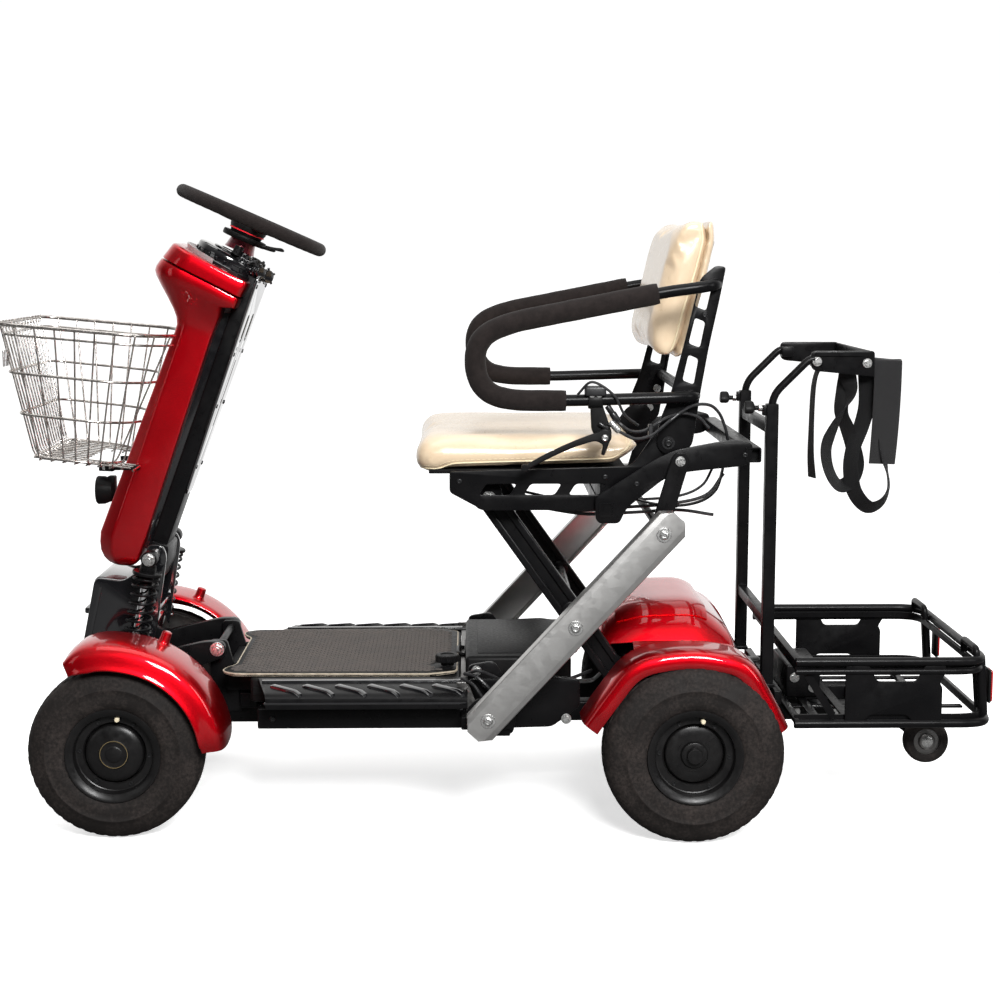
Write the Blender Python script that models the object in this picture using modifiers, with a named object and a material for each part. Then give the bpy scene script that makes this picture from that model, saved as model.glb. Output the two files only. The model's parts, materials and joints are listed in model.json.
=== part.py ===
# Folding four-wheel mobility scooter, modelled as an assembly of jointed parts.
#
# +Z is up and the ground is Z = 0. The scooter drives towards -X, so +X is the rear,
# -Y is the rider's left and +Y the rider's right.
# Lengths are in millimetres and MM turns them into metres. X is measured from a drawing
# datum, and DATUM_X then centres the finished object on X = 0.
import bpy
import bmesh
import math
from mathutils import Vector, Matrix

MM = 0.001
DATUM_X = -43.7
SIGNS = (-1, 1)                            # -Y side, +Y side
SIDES = (("left", -1), ("right", 1))

# --------------------------------------------------------- driving dimensions
# Points in side view are (x, z).
FRONT_TYRE_R = 127.5
REAR_TYRE_R = 131.5
FRONT_AXLE = (-517.0, FRONT_TYRE_R)
REAR_AXLE = (320.7, REAR_TYRE_R)
FRONT_TRACK_Y = 200.0                      # midplane to wheel centre
REAR_TRACK_Y = 237.5
KINGPIN_Y = 130.0
CASTER = (692.0, 111.0)                    # axle of the anti-tip wheels

SUSPENSION_PIVOT = (-384.0, 252.0)
SHOCK_TOP = (-479.0, 394.0)
SHOCK_DIRECTION = (-0.1985, -0.9801)       # unit vector down the shock (x, z)
SHOCK_Y = 112.0

TILLER_PIVOT = (-492.0, 350.0)
STEER_CENTRE = (-331.0, 895.0)

INNER_LOW = (266.4, 157.6)                 # ends of the inner scissor arms
INNER_TOP = (26.6, 495.0)
OUTER_LOW = (23.8, 193.1)                  # ends of the outer scissor arms
OUTER_TOP = (268.9, 457.8)
SCISSOR_PIVOT = ((INNER_LOW[0] + INNER_TOP[0]) / 2, (INNER_LOW[1] + INNER_TOP[1]) / 2)
LINK_PIVOT = (297.0, 554.0)
BACK_PIVOT = (281.0, 579.0)
BRAKE_PIVOT = (188.0, 590.0)

MAST_X = 444.5
MAST_Y = 130.0
MAST_TOP = 626

# ---------------------------------------------------------------- clean scene
for old in list(bpy.data.objects):
    bpy.data.objects.remove(old, do_unlink=True)

model = bpy.data.collections.new("mobility_scooter")
workshop = bpy.data.collections.new("workshop")
for collection in (model, workshop):
    bpy.context.scene.collection.children.link(collection)


# -------------------------------------------------------- meshes and workpieces
def tidy(mesh, matrix=None, flatten=True):
    """Move and weld a mesh and turn its normals outwards."""
    if matrix is not None:
        mesh.transform(matrix)
    bm = bmesh.new()
    bm.from_mesh(mesh)
    bmesh.ops.remove_doubles(bm, verts=bm.verts, dist=0.00001)
    if flatten:
        bmesh.ops.dissolve_degenerate(bm, edges=bm.edges, dist=0.00001)
        bmesh.ops.dissolve_limit(bm, angle_limit=0.002, verts=bm.verts, edges=bm.edges)
    bmesh.ops.recalc_face_normals(bm, faces=bm.faces)
    bm.to_mesh(mesh)
    bm.free()


def workpiece(data):
    """Put a mesh or curve in the workshop as an object."""
    piece = bpy.data.objects.new("workpiece", data)
    workshop.objects.link(piece)
    return piece


def from_bmesh(bm, matrix=None):
    mesh = bpy.data.meshes.new("workpiece")
    bm.to_mesh(mesh)
    bm.free()
    tidy(mesh, matrix)
    return workpiece(mesh)


def bake(piece, matrix=None, flatten=True):
    """Replace a workpiece by the mesh its curve or modifiers give."""
    bpy.context.view_layer.update()
    depsgraph = bpy.context.evaluated_depsgraph_get()
    mesh = bpy.data.meshes.new_from_object(piece.evaluated_get(depsgraph))
    bpy.data.objects.remove(piece, do_unlink=True)
    tidy(mesh, matrix, flatten)
    return workpiece(mesh)


def boolean(base, tools, operation):
    for tool in tools:
        modifier = base.modifiers.new("op", 'BOOLEAN')
        modifier.operation = operation
        modifier.solver = 'EXACT'
        modifier.object = tool
    result = bake(base, flatten=False)
    for tool in tools:
        bpy.data.objects.remove(tool, do_unlink=True)
    return result


def fuse(base, *others):
    return boolean(base, others, 'UNION')


def cut(base, *tools):
    return boolean(base, tools, 'DIFFERENCE')


# --------------------------------------------------------------------- frames
def xyz(point, y=0.0):
    """Side-view point (x, z) placed at y."""
    return (point[0], y, point[1])


def frame(u, v, w, origin):
    """Matrix with local axes u, v, w and its origin in metres."""
    return Matrix([*zip(u, v, w, origin), (0, 0, 0, 1)])


def frame_about(axis, zero, origin):
    """Frame with local Z on the axis and local X as near as possible to zero."""
    w = axis.normalized()
    u = (zero - w * zero.dot(w)).normalized()
    return frame(u, w.cross(u), w, origin)


# ------------------------------------------------------------------- outlines
def chamfered(points, size):
    """Outline with each corner cut back by size along both of its edges."""
    result = []
    for i, point in enumerate(points):
        corner = Vector(point)
        for neighbour in (points[i - 1], points[(i + 1) % len(points)]):
            edge = Vector(neighbour) - corner
            setback = min(size, edge.length * 0.45)
            result.append(tuple(corner + edge.normalized() * setback))
    return result


def circle(centre, radius, count):
    angles = [2 * math.pi * k / count for k in range(count)]
    return [(centre[0] + radius * math.cos(angle), centre[1] + radius * math.sin(angle))
            for angle in angles]


def capsule(start, end, radius):
    """Outline of a flat bar with round ends of four segments each."""
    heading = math.atan2(end[1] - start[1], end[0] - start[0])
    result = []
    for centre, quarter in ((start, math.pi / 2), (end, -math.pi / 2)):
        for k in range(5):
            angle = heading + quarter + math.pi * k / 4
            result.append((centre[0] + radius * math.cos(angle),
                           centre[1] + radius * math.sin(angle)))
    return result


def bar(start, end, width, overrun=0.0):
    """Outline of a square-ended bar running past both of its end points."""
    along = Vector((end[0] - start[0], end[1] - start[1])).normalized()
    across = Vector((-along.y, along.x)) * (width / 2)
    a = Vector(start) - along * overrun
    b = Vector(end) + along * overrun
    return [tuple(a + across), tuple(a - across), tuple(b - across), tuple(b + across)]


# --------------------------------------------------------------------- solids
def box(x0, x1, y0, y1, z0, z1, bevel=0.0):
    bm = bmesh.new()
    bmesh.ops.create_cube(bm, size=1.0)
    size = Vector((x1 - x0, y1 - y0, z1 - z0)) * MM
    centre = Vector((x0 + x1, y0 + y1, z0 + z1)) * (0.5 * MM)
    bmesh.ops.scale(bm, vec=size, verts=bm.verts)
    bmesh.ops.translate(bm, vec=centre, verts=bm.verts)
    if bevel > 0:
        bmesh.ops.bevel(bm, geom=list(bm.edges), offset=bevel * MM, segments=1,
                        profile=0.5, affect='EDGES')
    return from_bmesh(bm)


def crossbar(x0, x1, half_width, z0, z1, bevel=0.0):
    """Box across the midplane."""
    return box(x0, x1, -half_width, half_width, z0, z1, bevel)


def side_box(sign, x0, x1, near, far, z0, z1, bevel=0.0):
    """Box on one side, between two distances from the midplane."""
    y0, y1 = sorted((sign * near, sign * far))
    return box(x0, x1, y0, y1, z0, z1, bevel)


def plate(points, thickness, matrix):
    """Filled outline drawn in local XY, with its thickness centred on that plane."""
    curve = bpy.data.curves.new("outline", 'CURVE')
    curve.dimensions = '2D'
    curve.fill_mode = 'BOTH'
    curve.extrude = thickness / 2 * MM
    add_polyline(curve, [(p[0], p[1], 0.0) for p in points], cyclic=True)
    return bake(workpiece(curve), matrix)


def add_polyline(curve, points, cyclic):
    spline = curve.splines.new('POLY')
    spline.points.add(len(points) - 1)
    for target, (x, y, z) in zip(spline.points, points):
        target.co = (x * MM, y * MM, z * MM, 1.0)
    spline.use_cyclic_u = cyclic


def plate_xz(points, y0, y1):
    centre = (0, (y0 + y1) / 2 * MM, 0)
    return plate(points, abs(y1 - y0), frame((1, 0, 0), (0, 0, 1), (0, -1, 0), centre))


def plate_yz(points, x0, x1):
    centre = ((x0 + x1) / 2 * MM, 0, 0)
    return plate(points, abs(x1 - x0), frame((0, 1, 0), (0, 0, 1), (1, 0, 0), centre))


def plate_xy(points, z0, z1):
    return plate(points, abs(z1 - z0), Matrix.Translation((0, 0, (z0 + z1) / 2 * MM)))


def slab(points, half_width):
    """Side-view outline across the midplane."""
    return plate_xz(points, -half_width, half_width)


def side_plate(sign, points, near, far):
    """Side-view outline on one side, between two distances from the midplane."""
    return plate_xz(points, sign * near, sign * far)


def cylinder(start, end, radius, segments, end_radius=None):
    a = Vector(start) * MM
    b = Vector(end) * MM
    run = b - a
    bm = bmesh.new()
    bmesh.ops.create_cone(bm, cap_ends=True, segments=segments, radius1=radius * MM,
                          radius2=(radius if end_radius is None else end_radius) * MM,
                          depth=run.length)
    upright = abs(run.normalized().z) >= 0.9
    zero = Vector((1, 0, 0)) if upright else Vector((0, 0, 1))
    return from_bmesh(bm, frame_about(run, zero, (a + b) / 2))


def cross_rod(point, half_width, radius, segments):
    """Round bar across the midplane at a side-view point."""
    return cylinder(xyz(point, -half_width), xyz(point, half_width), radius, segments)


def side_rod(sign, point, near, far, radius, segments):
    """Round bar along Y on one side of the midplane."""
    return cylinder(xyz(point, sign * near), xyz(point, sign * far), radius, segments)


def post(x, y, z0, z1, radius, segments):
    return cylinder((x, y, z0), (x, y, z1), radius, segments)


def tube(points, radius, resolution=2, cyclic=False):
    """Solid round bar along a path of (x, y, z) points."""
    curve = bpy.data.curves.new("tube", 'CURVE')
    curve.dimensions = '3D'
    curve.bevel_depth = radius * MM
    curve.bevel_resolution = resolution
    curve.use_fill_caps = True
    add_polyline(curve, points, cyclic)
    return bake(workpiece(curve))


def lathe(profile, origin, axis, zero, steps, angle=360.0, wall=0.0):
    """Turn a (radius, height) profile about an axis, starting from direction zero.

    The profile is closed into a loop unless it starts on the axis or gets a wall.
    """
    mesh = bpy.data.meshes.new("profile")
    count = len(profile)
    edges = [(i, i + 1) for i in range(count - 1)]
    if profile[0][0] > 0 and not wall:
        edges.append((count - 1, 0))
    mesh.from_pydata([(radius * MM, 0.0, height * MM) for radius, height in profile], edges, [])
    piece = workpiece(mesh)
    screw = piece.modifiers.new("turn", 'SCREW')
    screw.axis = 'Z'
    screw.angle = math.radians(angle)
    screw.steps = steps
    screw.render_steps = steps
    screw.use_merge_vertices = angle >= 360.0
    screw.merge_threshold = 0.00001
    if wall:
        solidify = piece.modifiers.new("wall", 'SOLIDIFY')
        solidify.thickness = wall * MM
        solidify.offset = 0.0
    return bake(piece, frame_about(Vector(axis), Vector(zero), Vector(origin) * MM))


# ------------------------------------------------------------------ materials
def material(name, color, roughness, metallic=0.0):
    result = bpy.data.materials.new(name)
    result.use_nodes = True
    inputs = result.node_tree.nodes["Principled BSDF"].inputs
    inputs["Base Color"].default_value = (*color, 1.0)
    inputs["Roughness"].default_value = roughness
    inputs["Metallic"].default_value = metallic
    return result


RED = material("red_lacquer", color=(0.55, 0.005, 0.01), roughness=0.12)
BLACK = material("black_paint", color=(0.02, 0.02, 0.021), roughness=0.4, metallic=0.2)
PLASTIC = material("black_plastic", color=(0.03, 0.03, 0.032), roughness=0.5)
GLOSS = material("gloss_black", color=(0.01, 0.01, 0.012), roughness=0.08)
RUBBER = material("tyre_rubber", color=(0.05, 0.045, 0.045), roughness=0.85)
GALVANISED = material("galvanised", color=(0.62, 0.63, 0.64), roughness=0.4, metallic=1.0)
CHROME = material("chrome", color=(0.8, 0.8, 0.8), roughness=0.08, metallic=1.0)
VINYL = material("cream_vinyl", color=(0.8, 0.68, 0.45), roughness=0.35)
MAT_RUBBER = material("mat_rubber", color=(0.17, 0.15, 0.14), roughness=0.9)
FOAM = material("foam", color=(0.035, 0.028, 0.026), roughness=0.95)
WEBBING = material("webbing", color=(0.015, 0.015, 0.016), roughness=0.9)
RED_LENS = material("red_lens", color=(0.5, 0.01, 0.01), roughness=0.15)
LAMP_LENS = material("lamp_lens", color=(0.75, 0.75, 0.75), roughness=0.1)


# ----------------------------------------------------------- joints and parts
def joint(name, place, parent=None):
    """Empty at (x, y, z), hung under another joint given by name."""
    x, y, z = place
    empty = bpy.data.objects.new(name, None)
    empty.empty_display_size = 0.03
    empty.location = ((x + DATUM_X) * MM, y * MM, z * MM)
    model.objects.link(empty)
    if parent is not None:
        empty.parent = model.objects[parent]
        empty.matrix_parent_inverse = empty.parent.matrix_world.inverted()
    bpy.context.view_layer.update()


def part(name, piece, finish, joint_name):
    """File a finished workpiece under its joint, with its origin on the joint."""
    pivot = model.objects[joint_name]
    mesh = piece.data
    bpy.data.objects.remove(piece, do_unlink=True)
    offset = Vector((DATUM_X * MM, 0, 0)) - pivot.matrix_world.translation
    mesh.transform(Matrix.Translation(offset))
    mesh.name = name
    mesh.materials.clear()
    mesh.materials.append(finish)
    mesh.shade_smooth()
    mesh.set_sharp_from_angle(angle=math.radians(32))
    finished = bpy.data.objects.new(name, mesh)
    model.objects.link(finished)
    finished.parent = pivot


# (name, (x, y, z), parent)
JOINTS = (
    ("chassis", (0, 0, 0), None),
    ("pivot_suspension", xyz(SUSPENSION_PIVOT), "chassis"),
    ("slide_shock_rods", xyz(SHOCK_TOP), "chassis"),
    ("kingpin_left", xyz(FRONT_AXLE, -KINGPIN_Y), "pivot_suspension"),
    ("kingpin_right", xyz(FRONT_AXLE, KINGPIN_Y), "pivot_suspension"),
    ("axle_front_left", xyz(FRONT_AXLE, -FRONT_TRACK_Y), "kingpin_left"),
    ("axle_front_right", xyz(FRONT_AXLE, FRONT_TRACK_Y), "kingpin_right"),
    ("axle_rear_left", xyz(REAR_AXLE, -REAR_TRACK_Y), "chassis"),
    ("axle_rear_right", xyz(REAR_AXLE, REAR_TRACK_Y), "chassis"),
    ("pivot_tiller", xyz(TILLER_PIVOT), "chassis"),
    ("steer_axis", xyz(STEER_CENTRE), "pivot_tiller"),
    ("pivot_inner_arms", xyz(INNER_LOW), "chassis"),
    ("pivot_outer_arms", xyz(SCISSOR_PIVOT), "pivot_inner_arms"),
    ("pivot_seat", xyz(INNER_TOP), "pivot_inner_arms"),
    ("pivot_links", xyz(LINK_PIVOT), "pivot_seat"),
    ("pivot_backrest", xyz(BACK_PIVOT), "pivot_seat"),
    ("pivot_brake", xyz(BRAKE_PIVOT, -260), "pivot_backrest"),
    ("slide_mast", (MAST_X, 0, MAST_TOP), "chassis"),
    ("axle_anti_tip", xyz(CASTER), "chassis"),
)
for joint_row in JOINTS:
    joint(*joint_row)

# The tables below share these layouts, with near and far measured from the midplane:
#   crossbar    (x0, x1, half width, z0, z1)
#   side box    (x0, x1, near, far, z0, z1)
#   side plate  (outline of (x, z) points, near, far)
# A number after these is a bevel.

# ----------------------------------------------------------------- main frame
FRAME_RAIL = ([(-545, 133), (215, 133), (243, 172.5), (440, 172.5), (470, 133), (618, 133),
               (664, 118), (684, 97), (700, 97), (707, 112), (692, 127), (632, 158),
               (473.5, 158), (467, 200), (232, 200), (196, 163), (-545, 163)], 45, 75)
DECK_RAIL = (-312, 60, 185, 205, 157, 187)
DECK_RAIL_PLATE = ([(-2, 157), (118, 160), (159, 190), (159, 230), (118, 236), (-3, 231)],
                   202, 210)
INNER_ARM_EAR = (chamfered([(246, 206), (246, 148), (260, 138), (288, 146), (288, 206)], 6),
                 150, 158)
# guide for the sliding lower ends of the outer arms, and the blocks that hold it
GUIDE_BOXES = ((-105, 60, 256, 267, 158, 190),
               (19, 56, 190, 262, 160.5, 185.5),
               (-100, -70, 190, 262, 160.5, 185.5))
FRAME_CROSSBARS = ((-311, -284, 204, 159, 183), (-352, -326, 90, 159, 183),
                   (-544, -515, 74, 134, 161), (-200, -170, 204, 159, 183),
                   (22, 50, 204, 159.5, 183), (250, 284, 156, 178, 198),
                   (453.6, 465.5, 148, 176, 197), (600, 630, 74, 135, 156))
SUSPENSION_EAR = (chamfered([(-398, 262), (-398, 150), (-350, 150), (-358, 210), (-372, 262)],
                            6), 68, 77)


def build_main_frame():
    pieces = []
    for sign in SIGNS:
        pieces += [side_plate(sign, *FRAME_RAIL), side_box(sign, *DECK_RAIL),
                   side_plate(sign, *DECK_RAIL_PLATE), side_plate(sign, *INNER_ARM_EAR)]
        pieces += [side_box(sign, *row) for row in GUIDE_BOXES]
    pieces += [crossbar(*row) for row in FRAME_CROSSBARS]
    pieces += [side_plate(sign, *SUSPENSION_EAR) for sign in SIGNS]
    pieces.append(cross_rod(CASTER, 98, 12, 12))
    bores = (cross_rod(SUSPENSION_PIVOT, 90, 6.3, 10), cross_rod(CASTER, 120, 6.6, 12))
    part("main_frame", cut(fuse(*pieces), *bores), BLACK, "chassis")


# ---------------------------------------------------------------- tiller base
BASE_BODY = chamfered([(-597, 240), (-597, 163.5), (-478, 163.5), (-484, 290), (-512, 308),
                       (-528, 350), (-572, 360)], 8)
BASE_BLOCK = (-560, -500, 60, 200, 300)
BASE_CHEEK = (chamfered([(-560, 250), (-484, 250), (-461, 392), (-468, 408), (-490, 408),
                         (-497, 372), (-540, 356)], 5), 62, 70)
BASE_SLOT = (-527, -440, BASE_CHEEK[1] - 0.01, 309, 430)   # a hair inside the cheeks


def build_tiller_base():
    pieces = [slab(BASE_BODY, 70), crossbar(*BASE_BLOCK)]
    for sign in SIGNS:
        pieces.append(side_plate(sign, *BASE_CHEEK))
        pieces.append(side_rod(sign, SHOCK_TOP, 66, 96, 8, 10))   # stub for the shock eye
    part("tiller_base", cut(fuse(*pieces), crossbar(*BASE_SLOT)), PLASTIC, "chassis")


# ------------------------------------------------------------------- platform
DECK_TRAY = (-372, -16, 166, 187.5, 222.4, 4)
TRAY_NOTCHES = ((-400, -330, 60, 84, 150, 260), (-400, -327, 94, 190, 150, 260))
MAT_OUTLINE = chamfered([(-368, -120), (-348, -135), (-338, -150), (-61, -158), (-22, -140),
                         (-22, 140), (-61, 158), (-338, 150), (-348, 135), (-368, 120),
                         (-354, 95), (-354, -95)], 10)       # (x, y)
DECK_KNOB = (-35.5, -112)                                    # (x, y)
STEP_SECTION = [(169, 225), (236, 219), (250, 210), (250, 197), (246, 197), (246, 207),
                (234, 214.5), (169, 220.5)]                  # (distance from midplane, z)
STEP_TRIM = [(-330, 160), (-330, 270), (-290, 270), (-316, 160)]   # (x, from midplane)
BATTERY = (-8, 150, 140, 189, 250, 5)


def build_deck():
    notches = [side_box(sign, *row) for row in TRAY_NOTCHES for sign in SIGNS]
    part("deck_tray", cut(crossbar(*DECK_TRAY), *notches), PLASTIC, "chassis")
    mat = cut(plate_xy(MAT_OUTLINE, 222.8, 230.0), post(*DECK_KNOB, 210, 240, 20, 24))
    part("deck_mat", mat, MAT_RUBBER, "chassis")
    joint("turn_deck_knob", (*DECK_KNOB, 236), "chassis")
    knob = fuse(post(*DECK_KNOB, 230.5, 236, 10, 12), post(*DECK_KNOB, 235, 247, 18, 14))
    part("deck_knob", knob, PLASTIC, "turn_deck_knob")


def build_side_step(side, sign):
    step = plate_yz([(sign * y, z) for y, z in STEP_SECTION], -314, -5)
    trim = plate_xy([(x, sign * y) for x, y in STEP_TRIM], 180, 240)   # bevels the front end
    part("side_step_" + side, cut(step, trim), BLACK, "chassis")


def build_battery_pack():
    part("battery_pack", crossbar(*BATTERY), PLASTIC, "chassis")


# ----------------------------------------------------------------- drive unit
DRIVE_NECK = (300, 341, 40, 150, 171.9)
DRIVE_MOTOR = (345, 450, 38, 108, 166, 6)


def build_drive_unit():
    drive = fuse(cross_rod(REAR_AXLE, 186, 17, 12), cross_rod(REAR_AXLE, 52, 40, 16),
                 crossbar(*DRIVE_NECK), crossbar(*DRIVE_MOTOR),
                 cross_rod(REAR_AXLE, 222, 9, 12))
    part("drive_unit", drive, PLASTIC, "chassis")


# ----------------------------------------------------------- rear body panels
COVER_OUTLINE = chamfered([(190, 276), (205, 306), (256, 333), (338, 336), (362, 309),
                           (386, 282), (378, 270), (215, 270)], 8)
COVER_HOLLOW = [(200, 260), (214, 300), (258, 328), (335, 331), (357, 306), (376, 275),
                (372, 260)]
ARCH_TOP = [(160, 178), (228, 271), (312, 287), (402, 271), (457, 170)]
ARCH_UNDERSIDE = [(452, 169), (399, 267), (312, 282.5), (231, 266.5), (163.5, 175.5)]
LIP_UNDERSIDE = [(449, 168), (395, 262), (312, 277), (236, 262), (169, 173)]


def build_rear_cover():
    part("rear_cover", cut(slab(COVER_OUTLINE, 152), slab(COVER_HOLLOW, 148)), RED, "chassis")


def build_rear_fender(side, sign):
    band = side_plate(sign, ARCH_TOP + ARCH_UNDERSIDE, 197, 261)
    lip = side_plate(sign, ARCH_TOP + LIP_UNDERSIDE, 260, 263.5)
    part("rear_fender_" + side, fuse(band, lip), RED, "chassis")


# --------------------------------------------------------- rear luggage frame
CARRIER_PLATE = ([(552, 158), (688, 158), (676, 200), (688, 248), (552, 248), (566, 200)],
                 199, 203)
CARRIER_BARS = ((474.5, 486, 200, 240, 256), (474.5, 486, 200, 160.5, 168),
                (474.5, 486, 30, 160, 250), (560, 576, 200, 158.6, 164))
CARRIER_STAY = [(482, 198, 164), (550, 150, 163), (600, 80, 163)]   # (x, from midplane, z)
# paths of the bars across the upper ring (x, y, z)
CARRIER_TOP_BARS = ([(540, -120, 252), (620, 0, 252), (540, 120, 252), (486, 120, 252)],
                    [(700, -195, 252), (620, 0, 252), (700, 195, 252)],
                    [(486, -120, 252), (540, -120, 252)])
CARRIER_BAR_R = 5
TAIL_LIGHT = (773.5, 777.4, 138, 166, 182, 231, 1.2)


def carrier_ring(z, rear_x, radius):
    """U-shaped bar, open to the front, with cut rear corners."""
    half = [(476, 200), (rear_x - 30, 200), (rear_x - 9, 191), (rear_x, 170)]
    path = [(x, -y, z) for x, y in half] + [(x, y, z) for x, y in reversed(half)]
    return tube(path, radius, 1)


def build_rear_carrier():
    pieces = [carrier_ring(252, 757, 8), carrier_ring(160, 766, 7)]
    for sign in SIGNS:
        pieces += [post(x, sign * 200, 158, 254, 7, 8) for x in (480, 640)]
        pieces.append(cylinder((764, sign * 165, 158), (757, sign * 165, 254), 7, 8))
        pieces.append(side_plate(sign, *CARRIER_PLATE))
        pieces.append(tube([(x, sign * y, z) for x, y, z in CARRIER_STAY], CARRIER_BAR_R))
    pieces += [crossbar(*row) for row in CARRIER_BARS]
    pieces += [tube(path, CARRIER_BAR_R) for path in CARRIER_TOP_BARS]
    part("rear_carrier", fuse(*pieces), BLACK, "chassis")


def build_tail_light(side, sign):
    part("tail_light_" + side, side_box(sign, *TAIL_LIGHT), RED_LENS, "chassis")


# ----------------------------------------------------------------------- mast
POST_HALF = 9                              # half width of a square post
BORE_HALF = 6.4
MAST_TUBE_R = 5.8
MAST_TUBE_PATH = [(MAST_X, 540), (MAST_X, 640), (447, 655), (456, 668), (474, 680),
                  (494, 688), (512, 689)]
MAST_SIDE_BAR = (500, 592, 130, 134, 676, 702)
MAST_REAR_BAR = (588, 592, 132, 676, 702)
STRAP_OUTLINE = [(592.5, 700), (604, 640), (600, 560), (585, 506), (560, 500), (545, 512),
                 (549, 516), (561, 505), (582, 511), (596, 561), (599.5, 640), (592.5, 672)]


def mast_square(sign, half, z0, z1):
    y = sign * MAST_Y
    return box(MAST_X - half, MAST_X + half, y - half, y + half, z0, z1)


def build_mast_posts():
    pieces = [mast_square(sign, POST_HALF, 200.5, MAST_TOP) for sign in SIGNS]
    pieces += [crossbar(MAST_X - 7, MAST_X + 7, MAST_Y, z - 8, z + 8) for z in (300, 590)]
    bores = [mast_square(sign, BORE_HALF, 470, 640) for sign in SIGNS]
    part("mast_posts", cut(fuse(*pieces), *bores), BLACK, "chassis")


def build_clamp_knob(side, sign):
    y = sign * MAST_Y
    z = 617 - 3 * sign                     # the left knob sits higher
    knob = fuse(cylinder((404, y, z), (418, y, z), 9, 10),
                cylinder((417, y, z), (435.1, y, z), 3.5, 8))
    joint("turn_clamp_knob_" + side, (435, y, z), "chassis")
    part("clamp_knob_" + side, knob, PLASTIC, "turn_clamp_knob_" + side)


def build_mast_upper():
    pieces = []
    for sign in SIGNS:
        pieces.append(tube([xyz(p, sign * MAST_Y) for p in MAST_TUBE_PATH], MAST_TUBE_R))
        pieces.append(side_box(sign, *MAST_SIDE_BAR))
    pieces.append(crossbar(*MAST_REAR_BAR))
    part("mast_upper", fuse(*pieces), BLACK, "slide_mast")
    part("bag_straps", plate_xz(STRAP_OUTLINE, -110, -72), WEBBING, "slide_mast")


# ------------------------------------------------------------ shock absorbers
# (radius, distance down the shock from its top eye)
SHOCK_BODY = [(0, 8), (12, 8), (12, 20), (22, 20), (22, 25), (11, 25), (11, 78), (7.4, 78),
              (7.4, 34), (0, 34)]
SHOCK_ROD = [(0, 50), (6, 50), (6, 126), (22, 126), (22, 131), (8, 131), (8, 138), (0, 138)]
SHOCK_EYE_R = 12
SHOCK_EYE_HALF = 11
COIL_TURNS = 6
COIL_POINTS = 8                            # path points per turn
COIL_R = 17.5
COIL_WIRE_R = 2.6
COIL_START = 28.4
COIL_END = 122.6
SHOCK_AXIS = Vector(xyz(SHOCK_DIRECTION))


def shock_point(distance, y):
    return (SHOCK_TOP[0] + SHOCK_DIRECTION[0] * distance, y,
            SHOCK_TOP[1] + SHOCK_DIRECTION[1] * distance)


def coil_path(y):
    across = Vector((0, 1, 0))
    third = SHOCK_AXIS.cross(across)
    steps = COIL_TURNS * COIL_POINTS
    path = []
    for k in range(steps + 1):
        angle = 2 * math.pi * k / COIL_POINTS
        centre = Vector(shock_point(COIL_START + (COIL_END - COIL_START) * k / steps, y))
        path.append(centre + across * (COIL_R * math.cos(angle))
                    + third * (COIL_R * math.sin(angle)))
    return path


def build_shock(side, sign):
    y = sign * SHOCK_Y
    placing = (shock_point(0, y), SHOCK_AXIS, (1, 0, 0), 12)   # origin, axis, zero, steps
    eye = cylinder(xyz(SHOCK_TOP, y - SHOCK_EYE_HALF), xyz(SHOCK_TOP, y + SHOCK_EYE_HALF),
                   SHOCK_EYE_R, 12)
    part("shock_body_" + side, fuse(lathe(SHOCK_BODY, *placing), eye), BLACK, "chassis")
    part("shock_rod_" + side, lathe(SHOCK_ROD, *placing), CHROME, "slide_shock_rods")
    spring = tube(coil_path(y), COIL_WIRE_R, 0)
    part("spring_" + side, spring, BLACK, "slide_shock_rods")


# ----------------------------------------------------------- front suspension
SUSPENSION_ARM = (chamfered([(-372, 262), (-372, 240), (-440, 215), (-498, 112), (-536, 104),
                             (-538, 150), (-505, 176), (-505, 238), (-470, 248), (-400, 264)],
                            6), 80, 96)
# upper and lower kingpin lugs, then a block on the upper part of the arm
ARM_BOXES = ((-525, -507, 90, 138, 149, 160), (-525, -507, 90, 138, 96, 107),
             (-514, -494, 90, 124, 216, 244))


def build_suspension_arms():
    pieces = []
    for sign in SIGNS:
        pieces.append(side_plate(sign, *SUSPENSION_ARM))
        pieces += [side_box(sign, *row) for row in ARM_BOXES]
    pieces.append(cross_rod(SUSPENSION_PIVOT, 88, 5.6, 10))   # joins the arms through the ears
    arms = fuse(*pieces)
    for sign in SIGNS:
        arms = cut(arms, post(FRONT_AXLE[0], sign * KINGPIN_Y, 90, 166, 5.6, 10))
    part("suspension_arms", arms, BLACK, "pivot_suspension")


# ------------------------------------------- knuckles, front fenders and wheels
TYRE_HALF_W = 42.5
TYRE_DRAWN_R = 128.0                       # tyre radius that the shoulder radius belongs to
SHOULDER_R = 112
FLANGE_R = 67.0
RIM_R = 59.4
RIM_PROFILE = [(0, 22), (24, 22), (24, 12), (54, 12), (54, 38), (FLANGE_R, 39.5),
               (RIM_R, 36.7), (RIM_R, -36.7), (FLANGE_R, -39.5), (54, -38), (54, 5), (0, 5)]
WHEEL_STEPS = 20
FENDER_R = 161.0
FENDER_PROFILE = [(FENDER_R, 153), (FENDER_R, 236), (150, 247), (129, 251)]   # (radius, y)
FENDER_START = (0.9986, 0, 0.0523)         # rearwards, 3 degrees above level


def build_knuckle(side, sign):
    x = FRONT_AXLE[0]
    y = sign * KINGPIN_Y
    knuckle = fuse(
        post(x, y, 93, 163, 4.9, 10),                        # kingpin
        post(x, y, 109, 147, 12, 12),                        # its sleeve
        side_rod(sign, FRONT_AXLE, KINGPIN_Y, 190, 9, 12),   # stub axle
        side_box(sign, x + 7, x + 20, 124, 139, 113, 143),
        side_plate(sign, bar((x, 126), (x, 286), 14), 147, 151.5),   # fender bracket
        side_box(sign, x - 6, x + 6, 132, 150, 118, 139))
    part("knuckle_" + side, knuckle, BLACK, "kingpin_" + side)


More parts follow.
